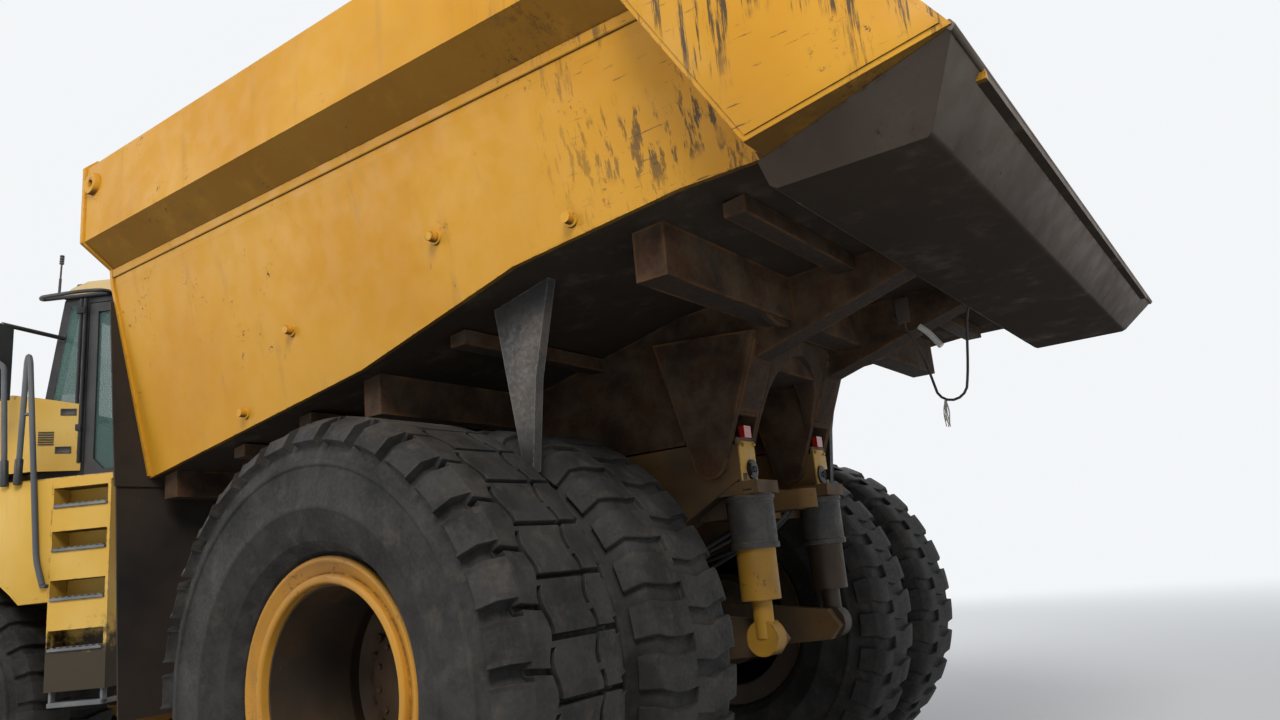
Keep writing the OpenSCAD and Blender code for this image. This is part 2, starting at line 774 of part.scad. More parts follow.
module bin_underframe() {
    color(rust) rear_half() {
        union() {
            both_sides() {
                // sill above a chassis rail
                across(sill_w, rail_mid) polygon([
                    [2250, 2257], [300, 2499], [-750, 2729], [-1600, 2799], [-2400, 2799],
                    [-1400, 2500], [-760, 2300], [-700, 2056], [1150, 2056], [2250, 2160]
                ]);
                // cheeks of the hinge, one on each side of a rail's end
                for (y = [rail_mid - rail_w/2 - 6 - 20, rail_mid + rail_w/2 + 6 + 20])
                    across(40, y) {
                        translate([bin_hinge_x, bin_hinge_z]) circle(r = 95);
                        polygon([[-965, 1950], [-1200, 2555], [-600, 2600], [-775, 1950]]);
                    }
                // ears of a hoist cylinder's top
                for (side = [-1, 1])
                    across(hoist_ear_t, hoist_y + side*(hoist_eye_t/2 + 5 + hoist_ear_t/2)) {
                        translate(hoist_eye) circle(r = 85);
                        polygon([
                            [hoist_eye[0] - 85, hoist_eye[1]], [hoist_eye[0] - 200, floor_z(hoist_eye[0] - 200)],
                            [hoist_eye[0] + 200, floor_z(hoist_eye[0] + 200)], [hoist_eye[0] + 85, hoist_eye[1]]
                        ]);
                    }
                block([hoist_eye[0] - 230, 450, 2380], [hoist_eye[0] - 170, hoist_y + 110, floor_z(hoist_eye[0] - 170)]);
            }
            // box beam between the cheeks of the hinge
            block([-1140, -570, 2400], [-760, 570, 2560]);
            // bolsters across: x from, x to, z from
            for (beam = [[-1400, -1250, 2560], [300, 420, 2300], [2120, 2250, 2120]])
                intersection() {
                    block([beam[0], -1640, beam[2]], [beam[1], 1640, 2840]);
                    across(3300) polygon(concat([for (p = floor_line) [p[0], p[1] - seat_gap]], [[bin_tail_x, 2000], [bin_front_x, 2000]]));
                }
        }
    }
    color(steel) rear_half() both_sides()
        across(rail_w + 2*46, rail_mid) translate([bin_hinge_x, bin_hinge_z]) circle(r = pin_r);
}

module rock_ejectors() {
    color(dark) rear_half() both_sides() across(50, 1555)
        polygon([[-420, floor_z(-420)], [-750, floor_z(-750)], [-640, 2300], [-590, 1900], [-540, 1900]]);
}

module screen_plates() {
    color(dark) rear_half() both_sides()
        lengthwise(bin_front_x, bin_front_x + 12) polygon([[800, 2200], [1900, 2200], [1960, 3300], [1850, 3300], [1500, 2400], [800, 2400]]);
}

module screen_rubbers() {
    color(rubber) rear_half() both_sides()
        lengthwise(bin_front_x + 12, bin_front_x + 24) polygon([[800, 900], [1835, 900], [1890, 2300], [800, 2300]]);
}

// Hoist cylinders

hoist_angle = atan2(hoist_eye[1] - hoist_foot[1], hoist_eye[0] - hoist_foot[0]);
hoist_len = norm(hoist_eye - hoist_foot);
hoist_barrel_len = 1770;
hoist_barrel_r = 100;
hoist_rod_r = 60;

// Places something drawn along +X at a cylinder's foot.
module at_hoist() {
    rear_half() translate([hoist_foot[0], hoist_y, hoist_foot[1]]) rotate([0, -hoist_angle, 0]) children();
}

module hoist_barrel() {
    color(yellow) difference() {
        union() {
            rotate([90, 0, 0]) cylinder(h = 120, r = 85, center = true);
            block([0, -60, -60], [125, 60, 60]);
            translate([120, 0, 0]) rotate([0, 90, 0]) cylinder(h = hoist_barrel_len - 120, r = hoist_barrel_r);
        }
        translate([135, 0, 0]) rotate([0, 90, 0]) cylinder(h = hoist_barrel_len, r = hoist_rod_r + 2);
    }
    color(steel) rotate([90, 0, 0]) translate([0, 0, -60]) cylinder(h = 184, r = hoist_pin_r);
}

module hoist_rod() {
    color(steel) {
        translate([145, 0, 0]) rotate([0, 90, 0]) cylinder(h = hoist_len - 185, r = hoist_rod_r);
        translate([hoist_len, 0, 0]) rotate([90, 0, 0]) cylinder(h = hoist_eye_t, r = 75, center = true);
    }
}

module hoist_barrel_left() { at_hoist() hoist_barrel(); }
module hoist_barrel_right() { rear_half() mirror([0, 1, 0]) translate([origin_x, origin_y, 0]) at_hoist() hoist_barrel(); }
module hoist_rod_left() { at_hoist() hoist_rod(); }
module hoist_rod_right() { rear_half() mirror([0, 1, 0]) translate([origin_x, origin_y, 0]) at_hoist() hoist_rod(); }

// Steering cylinders

steer_barrel_len = 850;
steer_rod_len = 814;
steer_barrel_r = 68;
steer_rod_r = 38;

function turned(p, a) = [p[0]*cos(a) - p[1]*sin(a), p[0]*sin(a) + p[1]*cos(a)];

// The run of a steering cylinder on one side, +1 left and -1 right.
function steer_from(side) = [steer_base[0], side*steer_base[1]];
function steer_run(side) = turned([steer_tip[0], side*steer_tip[1]], parked_lock) - steer_from(side);

module at_steer(side) {
    run = steer_run(side);
    rear_half() translate([hitch_x + steer_base[0], side*steer_base[1], steer_z])
        rotate([0, 0, atan2(run[1], run[0])]) children();
}

module steer_barrel(side) {
    color(yellow) at_steer(side) difference() {
        union() {
            cylinder(h = steer_eye_t, r = 65, center = true);
            block([0, -40, -steer_eye_t/2], [100, 40, steer_eye_t/2]);
            translate([95, 0, 0]) rotate([0, 90, 0]) cylinder(h = steer_barrel_len - 95, r = steer_barrel_r);
        }
        translate([150, 0, 0]) rotate([0, 90, 0]) cylinder(h = steer_barrel_len, r = steer_rod_r + 2);
    }
    color(steel) at_steer(side) cylinder(h = 170, r = 35, center = true);
}

module steer_rod(side) {
    color(steel) at_steer(side) {
        translate([norm(steer_run(side)) - steer_rod_len, 0, 0]) rotate([0, 90, 0])
            cylinder(h = steer_rod_len - 30, r = steer_rod_r);
        translate([norm(steer_run(side)), 0, 0]) cylinder(h = steer_eye_t, r = 60, center = true);
    }
}

module steer_barrel_left() { steer_barrel(1); }
module steer_barrel_right() { steer_barrel(-1); }
module steer_rod_left() { steer_rod(1); }
module steer_rod_right() { steer_rod(-1); }

rear_frame();
rear_axle();
rear_suspension();
tail_lamps();
hitch_knuckle();
front_frame();
front_axle();
front_suspension();
engine_block();
radiator();
front_bumper();
headlamps();
cab_shell();
cab_glass();
cab_interior();
walkways();
handrails();
mirrors();
exhaust();
hood();
grille();
cab_door();
door_glass();
wheel_rear_left();
wheel_rear_right();
wheel_front_left();
wheel_front_right();
tyres_rear_left();
tyres_rear_right();
tyre_front_left();
tyre_front_right();
bin_sides();
bin_floor();
bin_underframe();
rock_ejectors();
screen_plates();
screen_rubbers();
hoist_barrel_left();
hoist_barrel_right();
hoist_rod_left();
hoist_rod_right();
steer_barrel_left();
steer_barrel_right();
steer_rod_left();
steer_rod_right();
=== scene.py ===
"""Articulated dump truck, dressed for its render.

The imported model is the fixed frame. Rear places are given from the ground under
the rear axle, front places from the ground under the steering pivot, as in the
part's own source. TO_REAR and TO_FRONT bring both into the frame, in metres.
"""
import math
import random

import bmesh
import bpy
from mathutils import Matrix, Vector


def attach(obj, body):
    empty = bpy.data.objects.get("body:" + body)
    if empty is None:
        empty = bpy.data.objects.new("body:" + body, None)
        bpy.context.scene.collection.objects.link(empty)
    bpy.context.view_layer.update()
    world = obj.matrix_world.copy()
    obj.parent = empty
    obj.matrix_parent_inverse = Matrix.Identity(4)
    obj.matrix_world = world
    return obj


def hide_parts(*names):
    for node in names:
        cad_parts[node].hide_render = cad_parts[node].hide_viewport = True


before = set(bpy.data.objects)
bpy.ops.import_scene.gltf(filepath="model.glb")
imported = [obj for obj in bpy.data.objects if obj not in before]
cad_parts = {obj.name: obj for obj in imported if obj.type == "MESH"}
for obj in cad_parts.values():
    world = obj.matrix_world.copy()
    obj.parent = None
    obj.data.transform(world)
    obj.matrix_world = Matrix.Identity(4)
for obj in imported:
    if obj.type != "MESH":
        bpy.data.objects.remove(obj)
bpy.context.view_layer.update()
bpy.ops.object.select_all(action="DESELECT")

# Places that the whole truck is drawn from

HITCH_X = 3.740
LOCK = math.radians(30)
ORIGIN = Vector((2.64370, 0.50752, 0))
TO_REAR = Matrix.Translation(-ORIGIN)
TO_FRONT = TO_REAR @ Matrix.Translation((HITCH_X, 0, 0)) @ Matrix.Rotation(LOCK, 4, "Z")


def rear(x, y, z):
    """A place of the rear half in the frame."""
    return TO_REAR @ Vector((x, y, z))


# Camera

CAMERA_PLACE = (-3.219, 4.585, 1.443)
CAMERA_HEADING = math.radians(-55.988)
CAMERA_PITCH = math.radians(12.788)
CAMERA_ROLL = math.radians(-5.399)
FOCAL_PIXELS = 929.02
PHOTO_WIDTH = 1280
SENSOR_MM = 36.0


def make_camera():
    """The camera as it was fitted to the photo."""
    ahead = Vector((
        math.cos(CAMERA_PITCH)*math.cos(CAMERA_HEADING),
        math.cos(CAMERA_PITCH)*math.sin(CAMERA_HEADING),
        math.sin(CAMERA_PITCH),
    ))
    level = Vector((math.sin(CAMERA_HEADING), -math.cos(CAMERA_HEADING), 0))
    above = level.cross(ahead)
    right = math.cos(CAMERA_ROLL)*level + math.sin(CAMERA_ROLL)*above
    up = -math.sin(CAMERA_ROLL)*level + math.cos(CAMERA_ROLL)*above
    data = bpy.data.cameras.new("camera")
    data.sensor_width = SENSOR_MM
    data.lens = FOCAL_PIXELS/PHOTO_WIDTH*SENSOR_MM
    data.clip_start = 0.05
    data.clip_end = 200
    camera = bpy.data.objects.new("camera", data)
    bpy.context.scene.collection.objects.link(camera)
    turn = Matrix((right, up, -ahead)).transposed().to_4x4()
    camera.matrix_world = Matrix.Translation(rear(*CAMERA_PLACE)) @ turn
    bpy.context.scene.camera = camera


# Nodes of a material

# Sockets of a Mix node that is set to colours
MIX_ONE, MIX_TWO, MIX_OUT = 6, 7, 2


def as_colour(value):
    """A node's output as it is, or a plain colour with its alpha."""
    return value if isinstance(value, bpy.types.NodeSocket) else (*value, 1)


def fill(node, numbers):
    """Writes numbers on a node's inputs."""
    for name, number in numbers.items():
        node.inputs[name].default_value = number


class Surface:
    """A material whose nodes are added one by one, with Object coordinates."""

    def __init__(self, name):
        self.material = bpy.data.materials.new(name)
        self.material.use_nodes = True
        self.tree = self.material.node_tree
        self.shader = self.tree.nodes["Principled BSDF"]
        self.place = self.add("ShaderNodeTexCoord").outputs["Object"]

    def add(self, kind, **settings):
        node = self.tree.nodes.new(kind)
        for name, value in settings.items():
            setattr(node, name, value)
        return node

    def link(self, value, socket):
        """Joins an output to a socket, or writes a plain value on it."""
        if isinstance(value, bpy.types.NodeSocket):
            self.tree.links.new(value, socket)
        else:
            socket.default_value = value

    def stretched(self, scale):
        node = self.add("ShaderNodeMapping")
        self.link(self.place, node.inputs["Vector"])
        node.inputs["Scale"].default_value = scale
        return node.outputs["Vector"]

    def noise(self, scale, detail=4.0, roughness=0.55, place=None, warp=0.0):
        node = self.add("ShaderNodeTexNoise")
        self.link(place or self.place, node.inputs["Vector"])
        fill(node, {"Scale": scale, "Detail": detail, "Roughness": roughness, "Distortion": warp})
        return node.outputs["Fac"]

    def between(self, value, low, high, to_low=0.0, to_high=1.0):
        """Maps low..high to 0..1, or to_low..to_high, and cuts what is outside."""
        node = self.add("ShaderNodeMapRange", interpolation_type="SMOOTHSTEP")
        self.link(value, node.inputs["Value"])
        fill(node, {"From Min": low, "From Max": high, "To Min": to_low, "To Max": to_high})
        return node.outputs["Result"]

    def maths(self, operation, one, two=0.0):
        node = self.add("ShaderNodeMath", operation=operation)
        self.link(one, node.inputs[0])
        self.link(two, node.inputs[1])
        return node.outputs["Value"]

    def times(self, one, two):
        return self.maths("MULTIPLY", one, two)

    def most(self, one, two):
        return self.maths("MAXIMUM", one, two)

    def blend(self, share, one, two):
        """Colour one where share is 0, colour two where it is 1."""
        node = self.add("ShaderNodeMix", data_type="RGBA")
        self.link(share, node.inputs[0])
        self.link(as_colour(one), node.inputs[MIX_ONE])
        self.link(as_colour(two), node.inputs[MIX_TWO])
        return node.outputs[MIX_OUT]

    def level(self, share, one, two):
        """Number one where share is 0, number two where it is 1."""
        return self.between(share, 0.0, 1.0, one, two)

    def part(self, vector, axis):
        split = self.add("ShaderNodeSeparateXYZ")
        self.link(vector, split.inputs[0])
        return split.outputs[axis]

    def place_part(self, axis):
        return self.part(self.place, axis)

    def normal_part(self, axis):
        """One part of the normal as the piece was drawn, so that mud, dust and painted shade move with its
        face.
        """
        drawn = self.add("ShaderNodeVectorTransform", vector_type="NORMAL")
        drawn.convert_from = "WORLD"
        drawn.convert_to = "OBJECT"
        self.link(self.add("ShaderNodeNewGeometry").outputs["Normal"], drawn.inputs[0])
        return self.part(drawn.outputs[0], axis)

    def sideways(self):
        """How far a place is to the left of the rear half's middle."""
        return self.maths("ADD", self.place_part("Y"), ORIGIN.y)

    def outward(self):
        """Above 0 on a face that looks away from the middle, below 0 on one that looks in."""
        return self.times(self.sideways(), self.normal_part("Y"))

    def edges(self, radius, low=0.04, high=0.30):
        """1 along sharp edges, from the turn between the true and a rounded normal."""
        rounded = self.add("ShaderNodeBevel", samples=4)
        rounded.inputs["Radius"].default_value = radius
        turn = self.add("ShaderNodeVectorMath", operation="DOT_PRODUCT")
        self.link(rounded.outputs["Normal"], turn.inputs[0])
        self.link(self.add("ShaderNodeNewGeometry").outputs["Normal"], turn.inputs[1])
        return self.between(self.maths("SUBTRACT", 1.0, turn.outputs["Value"]), low, high)

    def bump(self, height, distance, strength=1.0):
        node = self.add("ShaderNodeBump")
        fill(node, {"Distance": distance, "Strength": strength})
        self.link(height, node.inputs["Height"])
        self.put("Normal", node.outputs["Normal"])

    def put(self, name, value):
        """Gives the shader an output or a plain value."""
        self.link(value, self.shader.inputs[name])

    def finish(self, colour, roughness, metallic=0.0):
        self.put("Base Color", as_colour(colour))
        self.put("Roughness", roughness)
        self.put("Metallic", metallic)
        return self.material


RUST_DARK = (0.034, 0.018, 0.011)
RUST_BRIGHT = (0.13, 0.055, 0.022)
DUST = (0.23, 0.175, 0.11)
MUD = (0.10, 0.072, 0.050)
STEEL = (0.20, 0.185, 0.17)
# Near black: caked mud, and painted shade on faces that look down, on the rims' inner faces and on the right
# strut
CAKED_MUD_AND_SHADE = (0.022, 0.017, 0.013)


def worn_paint(name, paint, faded, rust=0.5, grime=0.5, chips=0.5, gloss=0.42, below=0.85, extra=None):
    """Old paint: faded patches, chips along edges, rust round them, dust on top, and mud with painted shade
    on the faces that look down.
    """
    skin = Surface(name)
    colour = skin.blend(skin.between(skin.noise(1.3, 3), 0.35, 0.65), paint, faded)
    fine = skin.noise(38.0, 5, 0.7)
    patchy = skin.noise(2.6, 6, 0.68, warp=0.6)
    rust_there = skin.between(patchy, 0.60 - 0.14*rust, 0.72 - 0.10*rust)
    spots = skin.times(skin.between(fine, 0.56, 0.66), rust_there)
    chipped = skin.between(skin.noise(14.0, 4, 0.7), 0.62 - 0.25*chips, 0.72 - 0.2*chips)
    worn_edge = skin.times(skin.edges(0.018), chipped)
    bare = skin.most(spots, worn_edge)
    rusty = skin.blend(skin.between(skin.noise(55.0, 3), 0.4, 0.6), RUST_DARK, RUST_BRIGHT)
    streaks = skin.noise(1.0, 5, 0.6, place=skin.stretched((9.0, 9.0, 0.75)))
    run = skin.times(skin.between(streaks, 0.55, 0.80, 0.0, 0.75*grime), skin.between(patchy, 0.35, 0.6))
    colour = skin.blend(run, colour, MUD)
    film = skin.times(skin.between(skin.noise(5.5, 5, 0.65), 0.42, 0.78, 0.0, 0.40*grime),
                      skin.between(skin.normal_part("Z"), -0.2, 0.9, 0.06, 1.0))
    colour = skin.blend(film, colour, DUST)
    colour = skin.blend(bare, colour, rusty)
    if extra:
        colour = extra(skin, colour)
    # Painted shade, with mud: faces that look down are darkened toward near black, by the share below
    under = skin.times(skin.between(skin.normal_part("Z"), -1.0, -0.42, below, 0.0),
                       skin.between(skin.noise(4.0, 5, 0.7), 0.25, 0.5, 0.8, 1.0))
    colour = skin.blend(under, colour, CAKED_MUD_AND_SHADE)
    rough = skin.most(skin.between(skin.noise(9.0, 4), 0.3, 0.7, gloss, gloss + 0.2),
                      skin.most(under, skin.times(skin.most(bare, film), 0.85)))
    skin.put("Specular IOR Level", skin.level(under, 0.28, 0.03))
    skin.bump(skin.maths("SUBTRACT", skin.times(fine, 0.25), bare), 0.0012, 0.6)
    return skin.finish(colour, rough)


# Where the wear of the tail begins, and where it is strongest
TAIL_X = -1.05 - ORIGIN.x
TAIL_END_X = -1.75 - ORIGIN.x
DIRTY_RUN = (0.030, 0.020, 0.013)
SCUFF = (0.045, 0.028, 0.016)
LOAD_DARK = (0.075, 0.050, 0.036)
LOAD_BRIGHT = (0.15, 0.115, 0.09)


def bin_wear(skin, colour):
    """Runs and scratches toward the tail, and the load's bare steel on the inner faces."""
    near = skin.between(skin.place_part("X"), TAIL_END_X, TAIL_X + 0.35, 1.0, 0.0)
    low = skin.between(skin.place_part("Z"), 2.55, 3.05, 0.35, 1.0)
    runs = skin.noise(1.0, 6, 0.72, place=skin.stretched((26.0, 26.0, 1.6)))
    share = skin.times(skin.between(runs, 0.52, 0.60, 0.0, 0.92), skin.times(near, low))
    clump = skin.between(skin.noise(2.2, 4, 0.6), 0.46, 0.56)
    colour = skin.blend(skin.times(share, clump), colour, DIRTY_RUN)
    scuffs = skin.noise(1.0, 5, 0.7, place=skin.stretched((5.0, 5.0, 60.0)))
    share = skin.times(skin.between(scuffs, 0.63, 0.68, 0.0, 0.8), near)
    colour = skin.blend(share, colour, SCUFF)
    inward = skin.between(skin.outward(), -0.9, -0.4, 1.0, 0.0)
    worn = skin.blend(skin.between(skin.noise(2.0, 6, 0.7), 0.25, 0.75), LOAD_DARK, LOAD_BRIGHT)
    return skin.blend(inward, colour, worn)


def splashed(skin, colour):
    """Mud thrown up over the lower part of the steps."""
    torn = skin.between(skin.noise(6.0, 5, 0.7), 0.3, 0.7, -0.10, 0.10)
    ragged = skin.maths("ADD", skin.place_part("Z"), torn)
    return skin.blend(skin.between(ragged, 1.30, 1.46, 0.97, 0.0), colour, CAKED_MUD_AND_SHADE)


def shaded_side(skin, colour):
    """Painted shade: the strut on the right side is darkened almost to black."""
    return skin.blend(skin.between(skin.sideways(), -0.30, 0.0, 0.93, 0.0), colour, CAKED_MUD_AND_SHADE)


def rim_inner_face_shade(skin, colour):
    """Painted shade: the rims' faces that look in toward the middle are darkened almost to black."""
    return skin.blend(skin.between(skin.outward(), -0.8, -0.1, 0.96, 0.0), colour, CAKED_MUD_AND_SHADE)


def rusty_weldment(name):
    """Bare welded steel: patchy rust, dust on top, dirt and painted shade that darken it most below, edges
    worn bright and lightened as a painted highlight.
    """
    skin = Surface(name)
    patchy = skin.noise(3.2, 7, 0.68, warp=0.5)
    fine = skin.noise(42.0, 5, 0.7)
    colour = skin.blend(skin.between(patchy, 0.35, 0.65), RUST_DARK, RUST_BRIGHT)
    colour = skin.blend(skin.between(fine, 0.5, 0.7, 0.0, 0.7), colour, (0.03, 0.02, 0.016))
    film = skin.times(skin.between(skin.noise(6.0, 5), 0.35, 0.7, 0.0, 0.7),
                      skin.between(skin.normal_part("Z"), -0.6, 0.8, 0.3, 1.0))
    colour = skin.blend(film, colour, DUST)
    # Painted shade, with caked dirt: every face is darkened toward near black, most of all those that look
    # down
    under = skin.between(skin.normal_part("Z"), -0.9, 0.1, 0.92, 0.55)
    colour = skin.blend(under, colour, CAKED_MUD_AND_SHADE)
    # Edges worn bright, lightened further as a painted highlight
    rubbed_edge_highlight = skin.times(skin.edges(0.030, 0.03, 0.25), skin.between(skin.noise(5.0, 4), 0.40, 0.60))
    colour = skin.blend(rubbed_edge_highlight, colour, (0.15, 0.070, 0.022))
    skin.put("Specular IOR Level", 0.12)
    skin.bump(skin.maths("ADD", patchy, skin.times(fine, 0.4)), 0.004, 0.7)
    return skin.finish(colour, skin.between(fine, 0.3, 0.7, 0.72, 0.95))


def tyre_rubber(name):
    """Black rubber with dusty patches."""
    skin = Surface(name)
    patchy = skin.noise(4.0, 5, 0.65)
    fine = skin.noise(60.0, 5, 0.7)
    colour = skin.blend(skin.between(patchy, 0.35, 0.65), (0.012, 0.0115, 0.011), (0.032, 0.030, 0.028))
    dusty = skin.between(skin.noise(9.0, 6, 0.7), 0.48, 0.80, 0.0, 0.38)
    colour = skin.blend(dusty, colour, (0.11, 0.088, 0.066))
    skin.bump(fine, 0.0015, 0.5)
    skin.put("Specular IOR Level", 0.22)
    return skin.finish(colour, skin.between(fine, 0.3, 0.7, 0.62, 0.85))


def plain_rubber(name):
    skin = Surface(name)
    fine = skin.noise(30.0, 5, 0.7)
    dusty = skin.between(skin.noise(3.0, 5), 0.35, 0.7)
    colour = skin.blend(dusty, (0.018, 0.018, 0.02), (0.06, 0.055, 0.05))
    skin.bump(fine, 0.001, 0.4)
    return skin.finish(colour, skin.between(fine, 0.3, 0.7, 0.45, 0.7))


def dark_steel(name):
    """Dull steel, brighter at its edges."""
    skin = Surface(name)
    fine = skin.noise(45.0, 5, 0.7)
    patchy = skin.noise(3.0, 6, 0.65)
    colour = skin.blend(skin.between(patchy, 0.4, 0.7), (0.03, 0.029, 0.028), (0.085, 0.070, 0.055))
    colour = skin.blend(skin.times(skin.edges(0.012), skin.between(fine, 0.4, 0.6)), colour, STEEL)
    skin.bump(fine, 0.001, 0.4)
    return skin.finish(colour, skin.between(fine, 0.3, 0.7, 0.45, 0.75), 0.2)


def bright_rod(name):
    """Chromed rod."""
    skin = Surface(name)
    fine = skin.noise(1.0, 3, 0.6, place=skin.stretched((60.0, 60.0, 60.0)))
    colour = skin.blend(fine, (0.62, 0.62, 0.63), (0.75, 0.75, 0.76))
    return skin.finish(colour, skin.between(fine, 0.3, 0.7, 0.16, 0.30), 1.0)


def moulded(name, colour_one, colour_two, rough=0.5):
    skin = Surface(name)
    fine = skin.noise(160.0, 3, 0.6)
    colour = skin.blend(skin.between(skin.noise(4.0, 4), 0.35, 0.7), colour_one, colour_two)
    skin.bump(fine, 0.0004, 0.5)
    return skin.finish(colour, skin.between(fine, 0.3, 0.7, rough - 0.08, rough + 0.12))


def window_glass(name):
    """Greenish glass with faint smears."""
    skin = Surface(name)
    smear = skin.noise(3.0, 5, 0.7)
    skin.put("Alpha", 0.42)
    skin.put("IOR", 1.5)
    return skin.finish((0.10, 0.19, 0.17), skin.between(smear, 0.3, 0.7, 0.02, 0.12))


def lens(name, colour, glow):
    """Ribbed lamp lens under a clear coat."""
    skin = Surface(name)
    ribs = skin.noise(1.0, 1, 0.5, place=skin.stretched((0.0, 0.0, 90.0)))
    skin.bump(ribs, 0.002, 0.6)
    skin.put("Coat Weight", 0.6)
    tint = skin.blend(skin.noise(20.0, 2), colour, glow)
    return skin.finish(tint, skin.between(ribs, 0.3, 0.7, 0.12, 0.25))


YELLOW = (0.51, 0.232, 0.009)
YELLOW_FADED = (0.56, 0.275, 0.020)

# Paint and faded paint, then how much rust, grime and chips there is
PAINTS = {
    "bin_paint": (YELLOW, YELLOW_FADED, 0.25, 0.35, 0.6),
    "body_paint": ((0.62, 0.37, 0.055), (0.68, 0.45, 0.11), 0.1, 0.3, 0.2),
    "chassis_paint": ((0.34, 0.17, 0.020), (0.12, 0.07, 0.025), 0.9, 1.0, 0.8),
    "lit_chassis": ((0.50, 0.27, 0.035), (0.56, 0.35, 0.09), 0.5, 0.5, 0.7),
    "rim_paint": ((0.46, 0.22, 0.022), (0.30, 0.14, 0.025), 1.0, 0.6, 1.0),
    "roof_paint": ((0.66, 0.47, 0.20), (0.60, 0.44, 0.22), 0.1, 0.4, 0.2),
    "step_paint": ((0.60, 0.35, 0.050), (0.66, 0.43, 0.11), 0.35, 0.5, 0.5),
    "strut_paint": ((0.40, 0.21, 0.022), (0.17, 0.09, 0.025), 0.8, 1.0, 0.8),
    "cab_black": ((0.016, 0.016, 0.018), (0.030, 0.030, 0.032), 0.0, 0.25, 0.2),
    "plate_black": ((0.012, 0.010, 0.009), (0.028, 0.020, 0.015), 0.2, 0.15, 0.2),
    "grey_paint": ((0.070, 0.080, 0.090), (0.11, 0.115, 0.12), 0.1, 0.3, 0.3),
    # Tail beam: grime, with painted shade that turns its faces that look down near black
    "tail_grime_and_shade": ((0.10, 0.075, 0.058), (0.15, 0.12, 0.095), 0.7, 0.7, 0.5),
    "axle_grime": ((0.050, 0.036, 0.024), (0.16, 0.085, 0.025), 0.8, 0.7, 0.4),
    # Near-black paint that stands for the deep shade inside the rims, with wear on it
    "rim_inside_shade": ((0.030, 0.022, 0.016), (0.085, 0.048, 0.022), 0.6, 0.5, 0.3),
}

# Paints with another gloss, another share of mud and painted shade below, or dirt and painted shade of their
# own
PAINT_OPTIONS = {
    "bin_paint": {"extra": bin_wear},
    "rim_paint": {"below": 0.3, "extra": rim_inner_face_shade},
    "step_paint": {"extra": splashed},
    "strut_paint": {"extra": shaded_side},
    "plate_black": {"gloss": 0.6},
    # The tail beam's faces that look down are darkened almost fully: painted shade with grime
    "tail_grime_and_shade": {"gloss": 0.55, "below": 0.95},
    "axle_grime": {"gloss": 0.6, "below": 0.9},
    "rim_inside_shade": {"gloss": 0.6, "below": 0.4},
}

OTHER_FINISHES = (
    ("underbody", rusty_weldment),
    ("tyre", tyre_rubber),
    ("flap", plain_rubber),
    ("dark_steel", dark_steel),
    ("rod", bright_rod),
    ("window", window_glass),
    ("mat_grey", moulded, (0.15, 0.155, 0.16), (0.24, 0.24, 0.235), 0.75),
    ("step_grey", moulded, (0.11, 0.115, 0.12), (0.20, 0.195, 0.19), 0.55),
    ("pale_sleeve", moulded, (0.42, 0.40, 0.36), (0.58, 0.56, 0.52), 0.6),
    ("cable_steel", moulded, (0.030, 0.027, 0.025), (0.085, 0.060, 0.045), 0.6),
    ("black_trim", moulded, (0.02, 0.02, 0.021), (0.035, 0.034, 0.034)),
    ("red_lens", lens, (0.30, 0.006, 0.004), (0.42, 0.02, 0.012)),
    ("clear_lens", lens, (0.6, 0.62, 0.62), (0.75, 0.76, 0.76)),
)

FINISHES = {name: worn_paint(name, *look, **PAINT_OPTIONS.get(name, {})) for name, look in PAINTS.items()}
for name, make, *look in OTHER_FINISHES:
    FINISHES[name] = make(name, *look)

NODES_BY_FINISH = {
    "axle_grime": ["rear_frame", "rear_axle"],
    "strut_paint": ["rear_suspension"],
    "chassis_paint": ["hitch_knuckle", "front_frame", "front_axle"],
    "dark_steel": ["front_suspension", "engine_block", "radiator", "exhaust", "rock_ejectors"],
    "body_paint": ["front_bumper", "hood"],
    "cab_black": ["cab_shell"],
    "black_trim": ["cab_interior", "mirrors", "grille", "cab_door"],
    "window": ["cab_glass", "door_glass"],
    "red_lens": ["tail_lamps"],
    "clear_lens": ["headlamps"],
    "step_paint": ["walkways"],
    "grey_paint": ["handrails"],
    "bin_paint": ["bin_sides"],
    "tail_grime_and_shade": ["bin_floor"],
    "underbody": ["bin_underframe"],
    "plate_black": ["screen_plates", "screen_rubbers"],
    "rim_paint": [],
    "tyre": [],
    "rod": [],
}
for side in ("left", "right"):
    NODES_BY_FINISH["rim_paint"] += ["wheel_rear_" + side, "wheel_front_" + side]
    NODES_BY_FINISH["tyre"] += ["tyres_rear_" + side, "tyre_front_" + side]
    NODES_BY_FINISH["chassis_paint"] += ["hoist_barrel_" + side, "steer_barrel_" + side]
    NODES_BY_FINISH["rod"] += ["hoist_rod_" + side, "steer_rod_" + side]
NODE_FINISH = {node: finish for finish, nodes in NODES_BY_FINISH.items() for node in nodes}


def paint_nodes():
    """Gives every solid its finish."""
    for name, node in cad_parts.items():
        node.data.materials.clear()
        node.data.materials.append(FINISHES[NODE_FINISH[name]])


# Shaping pieces

def editing():
    """The mesh that is being shaped."""
    return bmesh.from_edit_mesh(bpy.context.object.data)


def pick_faces(test):
    """Selects the faces for which test(middle, normal) is true."""
    bpy.ops.mesh.select_mode(type="FACE")
    bpy.ops.mesh.select_all(action="DESELECT")
    mesh = editing()
    for face in mesh.faces:
        if test(face.calc_center_median(), face.normal):
            face.select = True
    mesh.select_flush_mode()
    bmesh.update_edit_mesh(bpy.context.object.data)


def tidy_shell():
    """Welds doubled corners and turns every face outward."""
    bpy.ops.mesh.select_all(action="SELECT")
    bpy.ops.mesh.remove_doubles(threshold=0.0001)
    bpy.ops.mesh.normals_make_consistent(inside=False)


